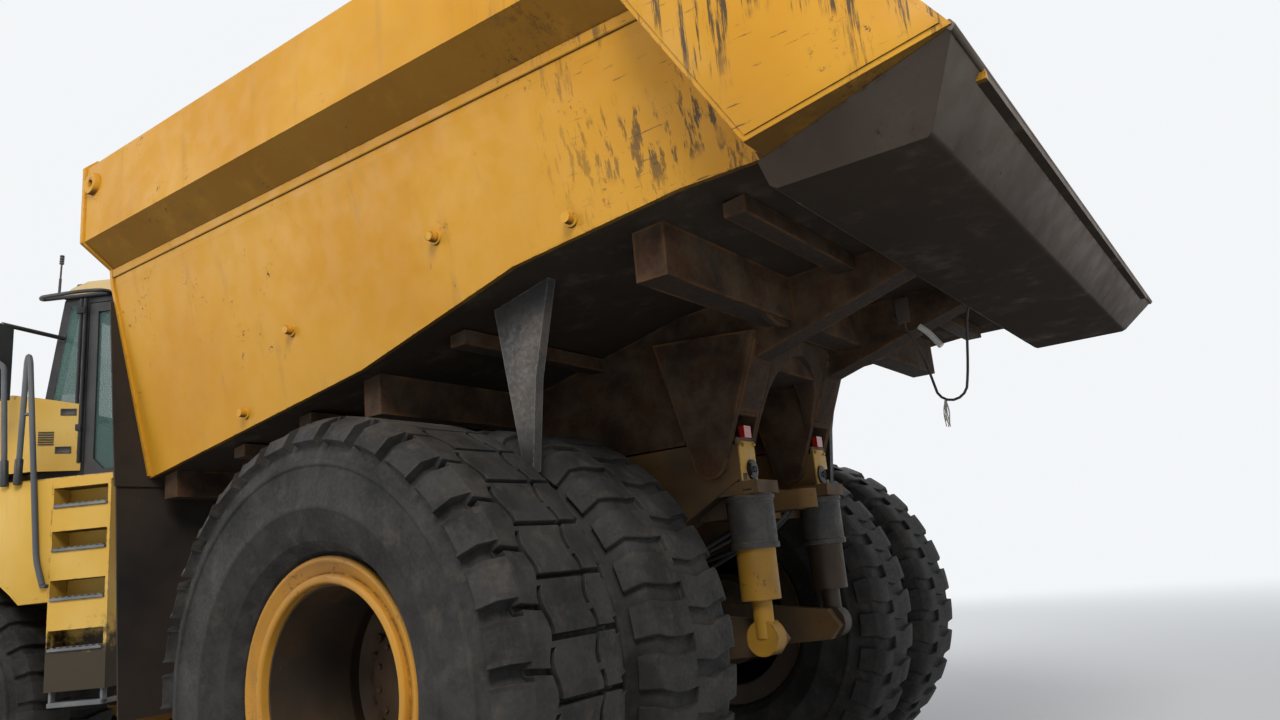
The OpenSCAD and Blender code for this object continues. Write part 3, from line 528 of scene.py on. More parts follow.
def start_outline(points, filled):
    """A ring of corners moved onto the points, ready in edit mode."""
    bpy.ops.object.select_all(action="DESELECT")
    fill_type = "NGON" if filled else "NOTHING"
    bpy.ops.mesh.primitive_circle_add(vertices=len(points), radius=1, fill_type=fill_type)
    bpy.ops.object.mode_set(mode="EDIT")
    mesh = editing()
    mesh.verts.ensure_lookup_table()
    for vert, point in zip(mesh.verts, points):
        vert.co = point
    bmesh.update_edit_mesh(bpy.context.object.data)
    bpy.ops.mesh.select_all(action="SELECT")


def draw_out(move):
    """Draws the picked faces out along a move."""
    bpy.ops.mesh.extrude_region_move(TRANSFORM_OT_translate={"value": move})


def cut_plate(points, move):
    """A plate drawn out of the face between the points."""
    start_outline(points, True)
    draw_out(move)
    tidy_shell()


def cut_side(outline, y_from, y_to):
    """A plate with an outline of [x, z], from y_from to y_to."""
    cut_plate([(x, y_from, z) for x, z in outline], (0, y_to - y_from, 0))


def cut_cross(outline, x_from, x_to):
    """A plate with an outline of [y, z], from x_from to x_to."""
    cut_plate([(x_from, y, z) for y, z in outline], (x_to - x_from, 0, 0))


def cut_flat(outline, z_from, z_to):
    """A plate with an outline of [x, y], from z_from to z_to."""
    cut_plate([(x, y, z_from) for x, y in outline], (0, 0, z_to - z_from))


def block(low, high):
    """A box between two corners."""
    outline = [(low[0], low[1]), (high[0], low[1]), (high[0], high[1]), (low[0], high[1])]
    cut_flat(outline, low[2], high[2])


def framed(test, margin, move=None):
    """Insets the faces that pass the test by a margin, and moves what is left of them."""
    pick_faces(test)
    bpy.ops.mesh.inset(thickness=margin, depth=0)
    if move:
        draw_out(move)


def slice_off(place, normal):
    """Cuts away what lies behind a plane, and closes the cut."""
    bpy.ops.mesh.select_all(action="SELECT")
    bpy.ops.mesh.bisect(plane_co=place, plane_no=normal, use_fill=True, clear_inner=True)


def turn_about_axle(profile, steps):
    """A closed outline of [radius, sideways] turned about the y axis."""
    start_outline([(0, y, r) for r, y in profile], False)
    bpy.ops.mesh.spin(steps=steps, angle=2*math.pi, center=(0, 0, 0), axis=(0, 1, 0))
    tidy_shell()


def round_bar(start, end, radius, sides=16):
    """A bar whose end is drawn out of a disc."""
    start, end = Vector(start), Vector(end)
    run = end - start
    bpy.ops.object.select_all(action="DESELECT")
    turn = run.to_track_quat("Z", "Y").to_euler()
    bpy.ops.mesh.primitive_circle_add(vertices=sides, radius=radius, fill_type="NGON",
                                      location=start, rotation=turn)
    bpy.ops.object.mode_set(mode="EDIT")
    draw_out(run)
    tidy_shell()


def bent_tube(points, radius, sides=3):
    """A tube along points, made from a path."""
    bpy.ops.object.select_all(action="DESELECT")
    bpy.ops.curve.primitive_nurbs_path_add()
    path = bpy.context.object.data
    path.splines.clear()
    spline = path.splines.new("POLY")
    spline.points.add(len(points) - 1)
    for corner, point in zip(spline.points, points):
        corner.co = (*point, 1)
    path.bevel_depth = radius
    path.bevel_resolution = sides
    path.use_fill_caps = True
    bpy.ops.object.convert(target="MESH")
    bpy.ops.object.mode_set(mode="EDIT")
    tidy_shell()


def rounded_path(points, radius, steps=4):
    """The same points with each bend turned into an arc."""
    points = [Vector(p) for p in points]
    out = [points[0]]
    for before, here, after in zip(points, points[1:], points[2:]):
        back, on = (before - here), (after - here)
        reach = min(radius, 0.45*back.length, 0.45*on.length)
        start, end = here + back.normalized()*reach, here + on.normalized()*reach
        for i in range(steps + 1):
            t = i/steps
            out.append(start*(1 - t)**2 + here*2*t*(1 - t) + end*t*t)
    out.append(points[-1])
    return out


def done(name, bevel=0.0, segments=2):
    """Ends the shaping of a piece: leaves edit mode and rounds its edges."""
    bpy.ops.object.mode_set(mode="OBJECT")
    piece = bpy.context.object
    piece.name = name
    bpy.ops.object.transform_apply(location=True, rotation=True, scale=True)
    if bevel:
        edge = piece.modifiers.new("edge", "BEVEL")
        edge.width = bevel
        edge.segments = segments
        edge.limit_method = "ANGLE"
        edge.angle_limit = math.radians(32)
        bpy.ops.object.modifier_apply(modifier="edge")
    return piece


def only(piece):
    """Selects one piece and makes it the active one."""
    bpy.ops.object.select_all(action="DESELECT")
    piece.select_set(True)
    bpy.context.view_layer.objects.active = piece


def place_piece(piece, matrix):
    """Moves a piece and writes the move into its mesh."""
    only(piece)
    piece.matrix_world = matrix @ piece.matrix_world
    bpy.ops.object.transform_apply(location=True, rotation=True, scale=True)
    return piece


def copied(piece, matrix):
    """A copy with its own mesh, moved by a matrix."""
    twin = piece.copy()
    twin.data = piece.data.copy()
    bpy.context.scene.collection.objects.link(twin)
    place_piece(twin, matrix)
    if matrix.determinant() < 0:
        bpy.ops.object.mode_set(mode="EDIT")
        tidy_shell()
        bpy.ops.object.mode_set(mode="OBJECT")
    return twin


def joined(name, pieces):
    """Joins pieces into the first one."""
    bpy.ops.object.select_all(action="DESELECT")
    for piece in pieces:
        piece.select_set(True)
    bpy.context.view_layer.objects.active = pieces[0]
    bpy.ops.object.join()
    pieces[0].name = name
    return pieces[0]


def repeated(name, piece, moves):
    """Copies of a piece at several places, joined. The first one is used up."""
    twins = [copied(piece, move) for move in moves]
    bpy.data.objects.remove(piece)
    return joined(name, twins)


def dressed(piece, body, finish, smooth=32):
    """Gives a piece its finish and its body."""
    only(piece)
    piece.data.materials.clear()
    piece.data.materials.append(FINISHES[finish])
    bpy.ops.object.shade_smooth_by_angle(angle=math.radians(smooth))
    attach(piece, body)
    return piece


MIRROR_Y = Matrix.Diagonal((1, -1, 1, 1))


def pair(part):
    """A part of the left side and its mirror."""
    return [part, copied(part, MIRROR_Y)]


def on_both_sides(piece, name):
    """The piece and its mirror, drawn before they are placed, as one piece."""
    return joined(name, pair(piece))


def mounted(name, parts, home, body, finish):
    """Joins parts, brings them home as one piece and dresses it."""
    return dressed(place_piece(joined(name, parts), home), body, finish)


def mirrored(name, parts, home, body, finish):
    """The same for parts that stand on both sides."""
    both = on_both_sides(joined(name, parts), name)
    return dressed(place_piece(both, home), body, finish)


# Tyres

# Tyre radius, half width, radius at the bead, radius of the rim's flange, half width between flanges
REAR_SIZE = (1.0875, 0.338, 0.444, 0.533, 0.204)
FRONT_SIZE = (0.935, 0.430, 0.368, 0.440, 0.330)
LUGS = 32
# Middles of the outer and inner rear tyre, and of the front tyre, from the middle of the truck
OUTER_Y = 1.971
INNER_Y = 1.139
FRONT_Y = 1.290
# The front axle, ahead of the steering pivot
FRONT_AXLE_X = 1.560


def carcass_outline(size, depth, rows):
    """Half of a tyre's section at the bottom of its grooves, from the bead to the crown."""
    r, half, bead, flange, rim_half = size
    # radius where the wall is widest, and half width and radius of the grooves' floor
    wide = (r + flange)/2 - 0.010
    tread = half - 0.050
    floor = r - depth
    points = [
        (bead, rim_half - 0.012),
        (flange + 0.006, rim_half - 0.004),
        (flange + 0.020, rim_half + 0.030),
        (flange + 0.034, rim_half + 0.040),
        (flange + 0.060, half - 0.045),
        (wide - 0.090, half - 0.014),
        (wide - 0.082, half - 0.006),
        (wide - 0.066, half - 0.005),
        (wide - 0.060, half - 0.008),
        (wide + 0.010, half - 0.004),
        (r - 0.205, half - 0.010),
        (r - 0.198, half - 0.002),
        (r - 0.178, half - 0.003),
        (r - 0.172, half - 0.014),
        (r - 0.128, half - 0.026),
        (floor - 0.022, tread - 0.012),
    ]
    return points + [(floor, y) for y in rows]


# The new tyre's shoulder and the groove that runs round its tread
SHOULDER = 0.115
GROOVE_OUT = 0.135
GROOVE_IN = 0.112


def new_tread(share, middle, size):
    """Blocks: wide notches at the shoulder, narrow grooves that meet in zigzags on the crown."""
    side = 0.0 if middle.y > 0 else 0.5
    share = (share + side) % 1.0
    out = abs(middle.y)
    if out > size[1] - SHOULDER:
        return share > 0.29
    if out > GROOVE_OUT:
        return not 0.10 < share < 0.20
    if out > GROOVE_IN:
        return 0.5 < share < 0.60
    return not 0.60 < (share + side) % 1.0 < 0.70


def worn_tread(share, middle, size):
    """Bars that run in from both shoulders and pass each other on the crown."""
    return (share + (0.0 if middle.y > 0 else 0.5)) % 1.0 < 0.66


def lean_lugs(size, wave):
    """Makes the lugs lean and wave a little across the tread."""
    radius, half = size[0], size[1]
    lean, curl, pitch, shift = wave
    mesh = editing()
    for vert in mesh.verts:
        x, y, z = vert.co
        reach = math.hypot(x, z)
        if reach > radius - 0.20:
            share = min((reach - radius + 0.20)/0.12, 1.0)
            turn = share*(lean*abs(y)/half + curl*math.sin(y*pitch))
            if abs(y) < half - 0.11:
                vert.co.y += share*shift*math.sin(LUGS*math.atan2(x, z))
            cos, sin = math.cos(turn), math.sin(turn)
            vert.co.x = x*cos + z*sin
            vert.co.z = z*cos - x*sin
    bmesh.update_edit_mesh(bpy.context.object.data)
    bpy.ops.mesh.select_all(action="SELECT")
    bpy.ops.mesh.normals_make_consistent(inside=False)


def shape_tyre(name, size, depth, tread, rows, steps, wave, recess):
    """A tyre about the y axis, with its lugs drawn out of the carcass."""
    section = carcass_outline(size, depth, rows)
    turn_about_axle(section + [(reach, -y) for reach, y in reversed(section)], LUGS*steps)
    radius, half = size[0], size[1]

    def on_lug(middle, normal):
        reach = math.hypot(middle.x, middle.z)
        if reach < radius - 0.148 or abs(middle.y) > half - 0.016:
            return False
        at = math.atan2(middle.x, middle.z) % (2*math.pi)
        return tread(at*LUGS/(2*math.pi) % 1.0, middle, size)

    def on_flank(middle, normal):
        outer = math.hypot(middle.x, middle.z) > radius - 0.13 and abs(middle.y) > half - 0.10
        return outer and 0.35 < abs(normal.y) < 0.93

    pick_faces(on_lug)
    bpy.ops.mesh.extrude_region_shrink_fatten(TRANSFORM_OT_shrink_fatten={"value": depth})
    if recess:
        pick_faces(on_flank)
        bpy.ops.mesh.inset(thickness=0.016, depth=-0.008)
    lean_lugs(size, wave)
    return done(name, 0.004, 1)


def axle_place(home, x, y, z, turn=0.0):
    """Move of a tyre onto its axle, with a turn of its own."""
    return home @ Matrix.Translation((x, y, z)) @ Matrix.Rotation(turn, 4, "Y")


def make_tyres():
    """New and worn rear twins, and the wide front pair."""
    new = shape_tyre("tyre_new", REAR_SIZE, 0.048, new_tread, (0.226, GROOVE_OUT, GROOVE_IN), 10,
                     (0.020, 0.004, 30.0, 0.016), True)
    worn = shape_tyre("tyre_worn", REAR_SIZE, 0.028, worn_tread, (0.226, 0.150, 0.070), 6,
                      (0.030, 0.010, 24.0, 0.004), False)
    wide = shape_tyre("tyre_wide", FRONT_SIZE, 0.036, worn_tread, (0.318, 0.200, 0.090), 6,
                      (0.030, 0.010, 18.0, 0.004), False)
    z = REAR_SIZE[0]
    rows = (
        ("tyres_rear_left", "wheel_rear_left", [(new, OUTER_Y, 0.02), (worn, INNER_Y, 0.07)]),
        ("tyres_rear_right", "wheel_rear_right", [(worn, -OUTER_Y, 0.11), (worn, -INNER_Y, 0.03)]),
    )
    for node, body, tyres in rows:
        pair = [copied(tyre, axle_place(TO_REAR, 0, y, z, turn)) for tyre, y, turn in tyres]
        piece = joined(node + "_lugged", pair)
        dressed(piece, body, "tyre")
        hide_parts(node)
    for side, sign in (("left", 1), ("right", -1)):
        piece = copied(wide, axle_place(TO_FRONT, FRONT_AXLE_X, sign*FRONT_Y, FRONT_SIZE[0], 0.05))
        piece.name = f"tyre_front_{side}_lugged"
        dressed(piece, "wheel_front_" + side, "tyre")
        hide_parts("tyre_front_" + side)
    for tyre in (new, worn, wide):
        bpy.data.objects.remove(tyre)


# Wheels

RIM_STEPS = 96
HUB_STEPS = 64
BAND_T = 0.030


def rim_outline(size, middle):
    """Section of a rim: inner flange, well, outer flange, gutter and lock ring."""
    bead, flange, half = size[2], size[3], size[4]
    rows = [
        (flange, -half - 0.026), (flange, -half - 0.004), (bead, -half - 0.004),
        (bead - 0.001, -half + 0.05), (bead - 0.001, half - 0.05), (bead, half + 0.004),
        (flange - 0.004, half + 0.004), (flange, half + 0.012), (flange, half + 0.030),
        (flange - 0.008, half + 0.038), (flange - 0.018, half + 0.040), (flange - 0.026, half + 0.034),
        (bead + 0.030, half + 0.010), (bead + 0.018, half + 0.008),
        (bead + 0.016, half + 0.030), (bead + 0.008, half + 0.036), (bead - 0.012, half + 0.036),
        (bead - 0.020, half + 0.028), (bead - 0.022, half - 0.02), (bead - 0.022, -half - 0.026),
    ]
    return [(r, y + middle) for r, y in rows]


def ring_moves(count, radius, y, start=0.0):
    """Places round the y axis at a radius."""
    out = Matrix.Translation((0, y, radius))
    return [Matrix.Rotation(start + 2*math.pi*i/count, 4, "Y") @ out for i in range(count)]


def shape_stud(length, across, nut):
    """A stud and nut along y."""
    round_bar((0, -0.004, 0), (0, nut, 0), across, 6)
    framed(lambda m, n: n.y > 0.9, across*0.35, (0, length, 0))
    return done("stud", 0.0015, 1)


def shape_band(bead, low, high):
    """The dark well inside the rims."""
    inner = bead - BAND_T
    turn_about_axle([(inner, low), (bead - 0.001, low), (bead - 0.021, high), (inner, high)], RIM_STEPS)
    return done("band", 0.002, 1)


def shape_spacer(bead, low, high):
    """The band between twin rims."""
    inner = bead - BAND_T
    turn_about_axle([(inner, low), (bead + 0.02, low), (bead + 0.02, high), (inner, high)], RIM_STEPS)
    return done("spacer")


def shape_disc(bead, hub_r, y, thick):
    """The dished disc between the hub and the well."""
    inner = bead - BAND_T
    turn_about_axle([
        (hub_r - 0.01, y), (hub_r + 0.03, y), (inner - 0.075, y + 0.004), (inner - 0.03, y + 0.030),
        (inner + 0.002, y + 0.050), (inner + 0.002, y + 0.080), (inner - 0.035, y + 0.052),
        (inner - 0.08, y + thick), (hub_r - 0.01, y + thick),
    ], RIM_STEPS)
    return done("disc", 0.003, 1)


def shape_wheel(size, rims, disc_y, hub, studs):
    """Painted rims, and the dark band, disc, hub and studs inside, about the y axis."""
    bead, half = size[2], size[4]
    painted = []
    for middle in rims:
        turn_about_axle(rim_outline(size, middle), RIM_STEPS)
        painted.append(done("rim", 0.002, 1))
    inside = [shape_band(bead, rims[0] - half - 0.020, rims[-1] + half - 0.004)]
    if len(rims) == 2:
        inside.append(shape_spacer(bead, rims[0] + half, rims[1] - half))
    inside.append(shape_disc(bead, hub[2][0], disc_y, 0.030))
    turn_about_axle(hub, HUB_STEPS)
    inside.append(done("hub", 0.005))
    count, radius, y, length, across, nut = studs
    inside.append(repeated("studs", shape_stud(length, across, nut), ring_moves(count, radius, y)))
    cap_r, cap_y = hub[-3][0] - 0.032, hub[-3][1]
    inside.append(repeated("cap_bolts", shape_stud(0.004, 0.013, 0.012), ring_moves(12, cap_r, cap_y, 0.2)))
    return joined("rims", painted), joined("inside", inside)


# Outlines of radius and sideways place, with the cap's edge as the last but two
REAR_HUB = [(0.02, 0.905), (0.29, 0.905), (0.29, 1.70), (0.262, 1.715), (0.240, 1.725), (0.236, 1.78),
            (0.215, 1.79), (0.100, 1.795), (0.02, 1.797)]
FRONT_HUB = [(0.02, 0.900), (0.27, 0.900), (0.27, 1.420), (0.245, 1.44), (0.225, 1.45), (0.220, 1.49),
             (0.20, 1.50), (0.090, 1.503), (0.02, 1.505)]
# How many studs, their radius and place, their length, their width and the nut's height
REAR_STUDS = (24, 0.345, 1.672, 0.022, 0.021, 0.026)
FRONT_STUDS = (20, 0.305, 1.412, 0.020, 0.019, 0.024)


def make_wheels():
    """Rims with their insides on both axles."""
    rear_wheel = shape_wheel(REAR_SIZE, (INNER_Y, OUTER_Y), 1.640, REAR_HUB, REAR_STUDS)
    front_wheel = shape_wheel(FRONT_SIZE, (FRONT_Y,), 1.380, FRONT_HUB, FRONT_STUDS)
    axles = (
        ("rear", rear_wheel, TO_REAR, 0, REAR_SIZE[0]),
        ("front", front_wheel, TO_FRONT, FRONT_AXLE_X, FRONT_SIZE[0]),
    )
    for axle, wheel, home, x, z in axles:
        for side, flip in (("left", Matrix()), ("right", MIRROR_Y)):
            body = f"wheel_{axle}_{side}"
            move = home @ Matrix.Translation((x, 0, z)) @ flip
            rims = copied(wheel[0], move)
            rims.name = body + "_rims"
            dressed(rims, body, "rim_paint")
            inside = copied(wheel[1], move)
            inside.name = body + "_inside"
            # The band, disc, hub and studs get near-black paint as painted deep shade
            dressed(inside, body, "rim_inside_shade")
            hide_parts(body)
        for piece in wheel:
            bpy.data.objects.remove(piece)


# Bin

# Outer faces of the upper rail and of the leaning side
RAIL_Y = 2.133
FOLD_Y = 1.700
FOLD_Z = 2.250
FLARE = 0.2174


def panel_y(z):
    """Outer face of the bin's side at a height."""
    return FOLD_Y + (z - FOLD_Z)*FLARE


# Pegs on the leaning side, and the lifting eye near the front
PEGS = ((0.750, 2.790), (-0.350, 2.960), (-1.090, 2.830), (1.260, 2.460))
EYE = (2.190, 0, 3.960)
EYE_RING = [(0.036, -0.01), (0.066, -0.01), (0.066, 0.020), (0.060, 0.030), (0.044, 0.032), (0.030, 0.026),
            (0.026, 0.010)]


def shape_strip():
    """The strip below the rail, slightly proud."""
    cut_cross([(1.940, 3.436), (1.964, 3.444), (1.970, 3.490), (1.945, 3.494)], -1.62, 2.285)
    return done("strip", 0.003, 1)


def shape_front_flange():
    """The flange round the front edge of the side."""
    foot, bend = panel_y(2.26), panel_y(3.40)
    edge = [
        (foot + 0.014, 2.26), (bend + 0.014, 3.40), (1.972, 3.490), (RAIL_Y + 0.014, 3.621),
        (RAIL_Y + 0.014, 4.096), (RAIL_Y - 0.056, 4.162), (1.962, 4.162), (1.966, 4.140), (2.06, 4.140),
        (RAIL_Y - 0.01, 4.08), (RAIL_Y - 0.01, 3.64), (1.945, 3.50), (bend - 0.01, 3.40), (foot - 0.01, 2.26),
    ]
    cut_cross(edge, 2.284, 2.312)
    return done("front_flange", 0.003)


def shape_peg(x, z):
    """A round peg, dished at its end, and its weld."""
    y = panel_y(z)
    round_bar((x, y - 0.012, z), (x, y + 0.040, z), 0.023, 24)
    framed(lambda m, n: n.y > 0.9, 0.006, (0, -0.010, 0))
    peg = done("peg", 0.003, 1)
    round_bar((x, y - 0.012, z), (x, y + 0.005, z), 0.034, 24)
    return [peg, done("peg_weld", 0.004)]


def make_bin_trim():
    """Strip, front flange, pegs and the lifting eye's ring on each side of the bin."""
    parts = [shape_strip(), shape_front_flange()]
    for x, z in PEGS:
        parts += shape_peg(x, z)
    turn_about_axle([(r, RAIL_Y + out) for r, out in EYE_RING], 48)
    parts.append(place_piece(done("eye_ring"), Matrix.Translation(EYE)))
    mirrored("bin_trim", parts, TO_REAR, "bed", "bin_paint")


def make_tail_plates():
    """The broad plates that close the sides at the tail."""
    cut_side([(-1.620, 3.420), (-2.030, 2.720), (-2.706, 2.838), (-2.632, 2.948), (-1.775, 4.090),
              (-1.500, 4.090), (-1.560, 3.640)], FOLD_Y, RAIL_Y + 0.002)
    slice_off((0, FOLD_Y - 0.010, FOLD_Z), (0, 1, -FLARE))
    framed(lambda m, n: n.y > 0.9, 0.018, (0, 0.006, 0))
    plate = done("plate", 0.004)
    mirrored("tail_plates", [plate], TO_REAR, "bed", "bin_paint")


def make_tail_beam():
    """Beam across the tail with its sloped rear face and dark lip."""
    section = [(-2.676, 2.7995), (-2.550, 2.650), (-2.530, 2.640), (-2.020, 2.640), (-2.000, 2.650),
               (-1.900, 2.7995)]
    cut_side(section, -FOLD_Y, FOLD_Y)
    beam = done("beam")
    cut_side([(-2.706, 2.836), (-2.552, 2.652), (-2.530, 2.640), (-2.020, 2.640), (-2.000, 2.652),
              (-2.000, 2.714), (-2.030, 2.719)], FOLD_Y, RAIL_Y - 0.002)
    slice_off((0, 1.900, 2.640), (0, -0.660, 0.751))
    wings = pair(done("wing"))
    cut_side([(-2.700, 2.862), (-2.716, 2.836), (-2.700, 2.818), (-2.672, 2.846)], -2.128, 2.128)
    lip = done("lip", 0.006)
    parts = [beam] + wings + [lip]
    mounted("tail_beam", parts, TO_REAR, "bed", "tail_grime_and_shade")


ARCH_STEPS = 18
# Ribs across under the floor: the middle of each and the floor's height there
RIBS = ((-1.70, 2.797), (-0.20, 2.605), (0.95, 2.415), (1.55, 2.340))


def shape_arch():
    """Arch over the hinge, cut behind by the slanted plane of the hinge cheeks."""
    turns = [math.pi*i/ARCH_STEPS for i in range(ARCH_STEPS + 1)]
    arch = [(0.326, 2.60), (0.326, 2.16), (0.300, 2.16)]
    arch += [(0.29*math.cos(turn), 2.20 + 0.30*math.sin(turn)) for turn in turns]
    arch += [(-0.300, 2.16), (-0.326, 2.16), (-0.326, 2.60)]
    cut_cross(arch, -1.230, -1.010)
    slice_off((-1.046, 0, 2.160), (0.385, 0, 0.154))
    return done("arch", 0.006)


def shape_leg():
    """Slanted plate on the rear of a hinge cheek, raised inside its edge."""
    cut_side([(-1.046, 2.160), (-1.200, 2.545), (-1.165, 2.560), (-1.013, 2.160)], 0.300, 0.580)
    framed(lambda m, n: n.x < -0.6, 0.03)
    bpy.ops.mesh.extrude_region_shrink_fatten(TRANSFORM_OT_shrink_fatten={"value": 0.010})
    return done("leg", 0.006)


def shape_gusset():
    """Slanted gusset from a sill out to the bolster."""
    sloped = [(0.53, 2.530), (0.66, 2.525), (1.10, 2.650), (1.10, 2.680), (0.53, 2.700)]
    cut_cross(sloped, -1.380, -1.340)
    return done("gusset", 0.006)


def shape_rib(x, z):
    """A rib across, pressed against the floor above it."""
    low = z - 0.07
    cut_side([(x - 0.05, z + 0.002), (x - 0.05, low), (x + 0.05, low), (x + 0.05, z - 0.012)], 0.53, 1.60)
    return done("rib", 0.004)


def make_underframe():
    """Arch over the hinge, its legs' plates, the gussets and the floor's ribs."""
    parts = [shape_arch()] + pair(shape_leg()) + pair(shape_gusset())
    for x, z in RIBS:
        parts += pair(shape_rib(x, z))
    mounted("underframe_castings", parts, TO_REAR, "bed", "underbody")


# Rear chassis

# Places on the left bracket plate and strut
SOCKET_Y = 0.418
SOCKET_Z = 1.890
PINS = 7
STRUT_X = -0.985
STRUT_Y = 0.412


def make_bracket_plates():
    """Plates that face the rear, with their flange and bolts."""
    parts = []
    face = [(0.358, 1.790), (0.522, 1.790), (0.522, 2.000), (0.490, 2.035), (0.358, 2.035)]
    cut_cross(face, -1.018, -1.004)
    parts.append(done("plate", 0.003))
    block((-1.060, 0.356, 1.780), (-1.004, 0.524, 1.792))
    parts.append(done("flange", 0.003))
    for y, z in ((0.374, 1.805), (0.508, 1.805), (0.374, 2.018), (0.488, 2.012)):
        round_bar((-1.016, y, z), (-1.030, y, z), 0.009, 6)
        parts.append(done("bolt", 0.002, 1))
    mirrored("bracket_plates", parts, TO_REAR, "rear_chassis", "lit_chassis")


def make_bracket_fittings():
    """Square hole and round connector with its pins on each bracket plate."""
    parts = []
    block((-1.021, 0.478, 1.838), (-1.015, 0.510, 1.870))
    parts.append(done("square_hole"))
    round_bar((-1.012, SOCKET_Y, SOCKET_Z), (-1.030, SOCKET_Y, SOCKET_Z), 0.050, 40)
    framed(lambda m, n: n.x < -0.9, 0.010, (0.008, 0, 0))
    bpy.ops.mesh.inset(thickness=0.018, depth=0)
    draw_out((-0.014, 0, 0))
    parts.append(done("connector", 0.002))
    for i in range(PINS):
        turn = 2*math.pi*i/PINS
        y = SOCKET_Y + 0.014*math.cos(turn)
        z = SOCKET_Z + 0.014*math.sin(turn)
        round_bar((-1.034, y, z), (-1.044, y, z), 0.004, 8)
        parts.append(done("pin"))
    mirrored("bracket_fittings", parts, TO_REAR, "rear_chassis", "black_trim")


def make_strut_covers():
    """Dark upper tube, clamp and seals on each rear strut."""
    parts = []
    for low, high, radius in ((1.515, 1.755, 0.116), (1.500, 1.530, 0.122), (1.738, 1.762, 0.124)):
        round_bar((STRUT_X, STRUT_Y, low), (STRUT_X, STRUT_Y, high), radius, 40)
        parts.append(done("cover", 0.005))
    mirrored("strut_covers", parts, TO_REAR, "rear_chassis", "dark_steel")


# The left side's lines, two behind the axle and two ahead of it
HOSE_ROUTES = (
    [(-0.90, 0.24, 1.70), (-0.78, 0.24, 1.61), (-0.55, 0.24, 1.52), (-0.30, 0.26, 1.42), (-0.12, 0.27, 1.36)],
    [(-0.90, 0.18, 1.70), (-0.75, 0.17, 1.58), (-0.50, 0.15, 1.50), (-0.25, 0.17, 1.45), (0.05, 0.22, 1.43)],
    [(0.70, 0.30, 1.60), (1.10, 0.34, 1.32), (1.45, 0.36, 1.10), (1.80, 0.34, 0.98), (2.15, 0.30, 0.96)],
    [(0.70, 0.22, 1.60), (1.10, 0.28, 1.28), (1.45, 0.30, 1.04), (1.80, 0.28, 0.92), (2.15, 0.24, 0.90)],
)


def make_hoses():
    """Hydraulic and brake lines along the rear frame, held at both ends."""
    parts = []
    for route in HOSE_ROUTES:
        bent_tube(rounded_path(route, 0.12), 0.014, 3)
        parts += pair(done("hose"))
    mounted("frame_hoses", parts, TO_REAR, "rear_chassis", "flap")


def make_torn_flange():
    """What is left of a flange at the foot of the tail, bent and torn."""
    cut_side([(-1.940, 2.812), (-2.090, 2.775), (-2.100, 2.690), (-2.070, 2.630), (-2.045, 2.665),
              (-2.020, 2.660), (-1.995, 2.715), (-1.970, 2.735)], 1.856, 1.866)
    torn = done("torn_flange", 0.003, 1)
    mirrored("torn_flanges", [torn], TO_REAR, "bed", "underbody")


# Loose cable below the tail

CABLE_Y = -0.360
CABLE_R = 0.007
CABLE_ROUTE = [
    (-1.655, 2.655), (-1.660, 2.600), (-1.676, 2.565), (-1.692, 2.535), (-1.707, 2.500), (-1.724, 2.450),
    (-1.738, 2.390), (-1.750, 2.325), (-1.763, 2.258), (-1.7695, 2.2255), (-1.788, 2.198), (-1.8155, 2.1795),
    (-1.848, 2.173), (-1.8805, 2.1795), (-1.908, 2.198), (-1.9265, 2.2255), (-1.935, 2.262), (-1.945, 2.310),
    (-1.955, 2.370), (-1.965, 2.440), (-1.975, 2.510), (-1.985, 2.575), (-1.997, 2.622), (-2.010, 2.660),
]
CLIP_OUTLINE = [(-1.690, 2.640), (-1.620, 2.640), (-1.615, 2.780), (-1.695, 2.780)]
CLIP_WIRES = (
    [(-1.66, -0.35, 2.66), (-1.64, -0.31, 2.63), (-1.60, -0.34, 2.68)],
    [(-1.66, -0.37, 2.65), (-1.71, -0.40, 2.62), (-1.69, -0.37, 2.69)],
    [(-1.65, -0.36, 2.70), (-1.60, -0.40, 2.74), (-1.58, -0.37, 2.78)],
)
SLEEVE_ROUTE = [(-1.735, -0.352, 2.600), (-1.775, -0.350, 2.560), (-1.834, -0.352, 2.469)]
STRANDS = 9


def make_clip():
    """The clip that carries the cable, with its loose wires."""
    cut_side(CLIP_OUTLINE, CABLE_Y - 0.012, CABLE_Y + 0.012)
    parts = [done("clip", 0.003, 1)]
    for route in CLIP_WIRES:
        bent_tube(rounded_path(route, 0.03), 0.003, 1)
        parts.append(done("wire"))
    mounted("cable_clip", parts, TO_REAR, "bed", "cable_steel")


def make_strands():
    """The cable's frayed wires, which hang from its lowest bend."""
    parts = []
    generator = random.Random(7)
    for i in range(STRANDS):
        lean = (generator.uniform(-0.02, 0.02), generator.uniform(-0.02, 0.02))
        y = CABLE_Y + 0.002*(i - STRANDS//2)
        foot = (-1.806, y, 2.182)
        tip = (-1.790 + lean[0], y + lean[1], 2.035 + generator.uniform(0, 0.03))
        middle = ((foot[0] + tip[0])/2 + lean[1], (foot[1] + tip[1])/2 - lean[0], (foot[2] + tip[2])/2)
        bent_tube(rounded_path([foot, middle, tip], 0.03), 0.0028, 1)
        parts.append(done("strand"))
    mounted("frayed_strands", parts, TO_REAR, "bed", "pale_sleeve")


def make_cable():
    """The loose cable, its clip, the sleeve on its old end and its frayed wires."""
    points = [rear(x, CABLE_Y, z) for x, z in CABLE_ROUTE]
    bent_tube(points, CABLE_R, 3)
    piece = dressed(done("cable"), "bed", "cable_steel")
    make_clip()
    bent_tube(rounded_path(SLEEVE_ROUTE, 0.03), 0.017, 3)
    mounted("cable_sleeve", [done("sleeve")], TO_REAR, "bed", "pale_sleeve")
    make_strands()


# Cab edge and walkways

